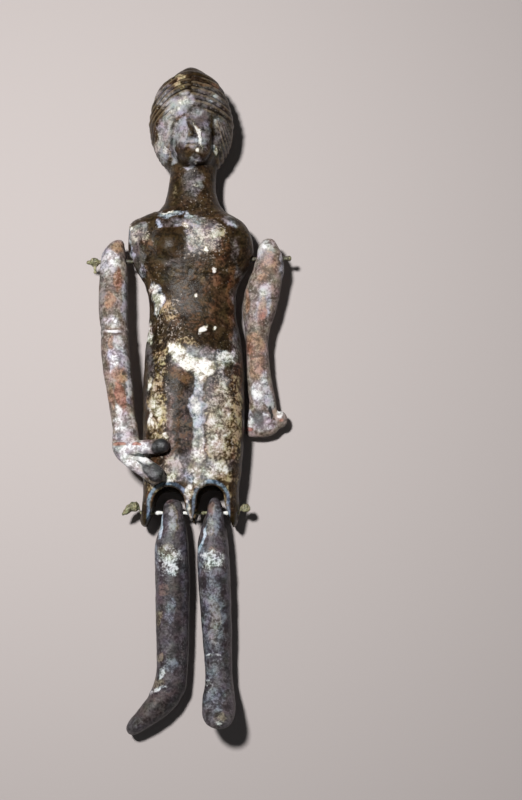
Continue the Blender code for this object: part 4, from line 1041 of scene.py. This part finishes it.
wireLook = {
    "broad": 5.0, "middle": 1.2, "fine": 0.35, "speck": 0.25, "tintSize": 1.0, "tint": 0.25,
    "clay": ("#4b4833", "#aaa582"), "mottle": 0.2, "rough": 0.5, "gloss": 0.5, "grainHeight": 0.06,
    "lumpHeight": 0.10, "fleck": 0.4, "fleckReach": 0.14, "flecks": ("#8b8458", "#c8c6a4"),
    "fleckCover": 0.6, "speckDark": 0.36, "speckPale": 0.66, "grit": "#c8c6a4", "gritCover": 0.6,
    "dirtAndShade": "#1c1a10", "dirtAndShadeCover": 0.7, "rub": "#c0b98c", "rubCover": 0.5,
    "layers": {
        "stain": ("#1d1b16", "#4a463a", 0.6, 0.3, 0.9, 0.5, 0.0),
        "slip": ("#d4d2cc", "#fbfbf8", 0.4, 0.12, 1.0, 0.8, 0.05),
    },
}


def makePin(node):
    piece, points, normals, places = roundedCopy(node, node + "_wire", pin)
    move = wornBy(points, pin["wear"], pin["wearSeed"] + len(node))
    out = np.abs(points[:, 0] - (points[:, 0].min() + points[:, 0].max()) / 2)
    start = pin["lumpsFrom"][node]
    ends = ramp(out, start, start + pin["lumpsGrow"])
    move += ends * wornBy(points, pin["lumps"], pin["lumpSeed"])
    putPoints(piece, points + normals * move[:, None])
    for layer, patches in pinPatches[node].items():
        addField(piece, layer, patchField(places, patches))
    addField(piece, "flecks", wave(points, pin["fleckNoise"], pin["fleckSeed"]))
    addHollowShadeAndWearFields(piece, pin["hollowShadeAndRubRounds"])
    return piece


def dress(piece, node, material):
    piece.data.materials.append(material)
    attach(piece, "root")
    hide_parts(node)
    print(piece.name, len(piece.data.polygons), "faces")


dress(makeTorso(), "torso", makeLook("dark burnished clay", bodyLook))
armMaterial = makeLook("pale sandy clay", armLook)
legMaterial = makeLook("grey fired clay", legLook)
for armName in ("arm_right", "arm_left"):
    dress(makeLimb(armName, armLook), armName, armMaterial)
for legName in ("leg_right", "leg_left"):
    dress(makeLimb(legName, legLook), legName, legMaterial)
wireMaterial = makeLook("old brass wire", wireLook)
for pinName in ("shoulder_pin", "hip_pin"):
    dress(makePin(pinName), pinName, wireMaterial)


# Pale floor, one soft lamp from the upper left, and a faint fill
def makeFloor():
    place = (0, 0, -light["floorDrop"] * mm)
    bpy.ops.mesh.primitive_plane_add(size=2 * light["floorReach"] * mm, location=place)
    floor = bpy.context.active_object
    floor.name = "floor"
    bpy.ops.object.transform_apply(location=True, rotation=True, scale=True)
    material = bpy.data.materials.new("pale floor")
    material.use_nodes = True
    shader = material.node_tree.nodes["Principled BSDF"]
    shader.inputs["Base Color"].default_value = linear(light["floorTone"])
    shader.inputs["Roughness"].default_value = light["floorRough"]
    floor.data.materials.append(material)


def makeLamp(name, place, size, power):
    lamp = bpy.data.lights.new(name, "AREA")
    lamp.shape = "DISK"
    lamp.size = size * mm
    lamp.energy = power
    holder = bpy.data.objects.new(name, lamp)
    bpy.context.scene.collection.objects.link(holder)
    holder.location = Vector(place) * mm
    holder.rotation_euler = (-Vector(place)).to_track_quat("-Z", "Y").to_euler()


def makeCamera():
    camera = bpy.data.cameras.new("camera")
    camera.sensor_width = view["longSide"]
    camera.lens = view["lens"]
    holder = bpy.data.objects.new("camera", camera)
    bpy.context.scene.collection.objects.link(holder)
    holder.location = Vector(view["place"]) * mm
    holder.rotation_euler = (math.radians(view["tilt"]), 0, 0)
    bpy.context.scene.camera = holder


makeFloor()
lampPlace = Vector(light["towards"]).normalized() * light["distance"]
makeLamp("lamp", lampPlace, light["size"], light["power"])
makeLamp("fill", light["fillFrom"], light["fillSize"], light["fillPower"])
makeCamera()
world = bpy.data.worlds.new("studio")
bpy.context.scene.world = world
world.use_nodes = True
background = world.node_tree.nodes["Background"]
background.inputs["Color"].default_value = light["skyTone"]
background.inputs["Strength"].default_value = light["sky"]
bpy.context.scene.view_settings.view_transform = "Standard"
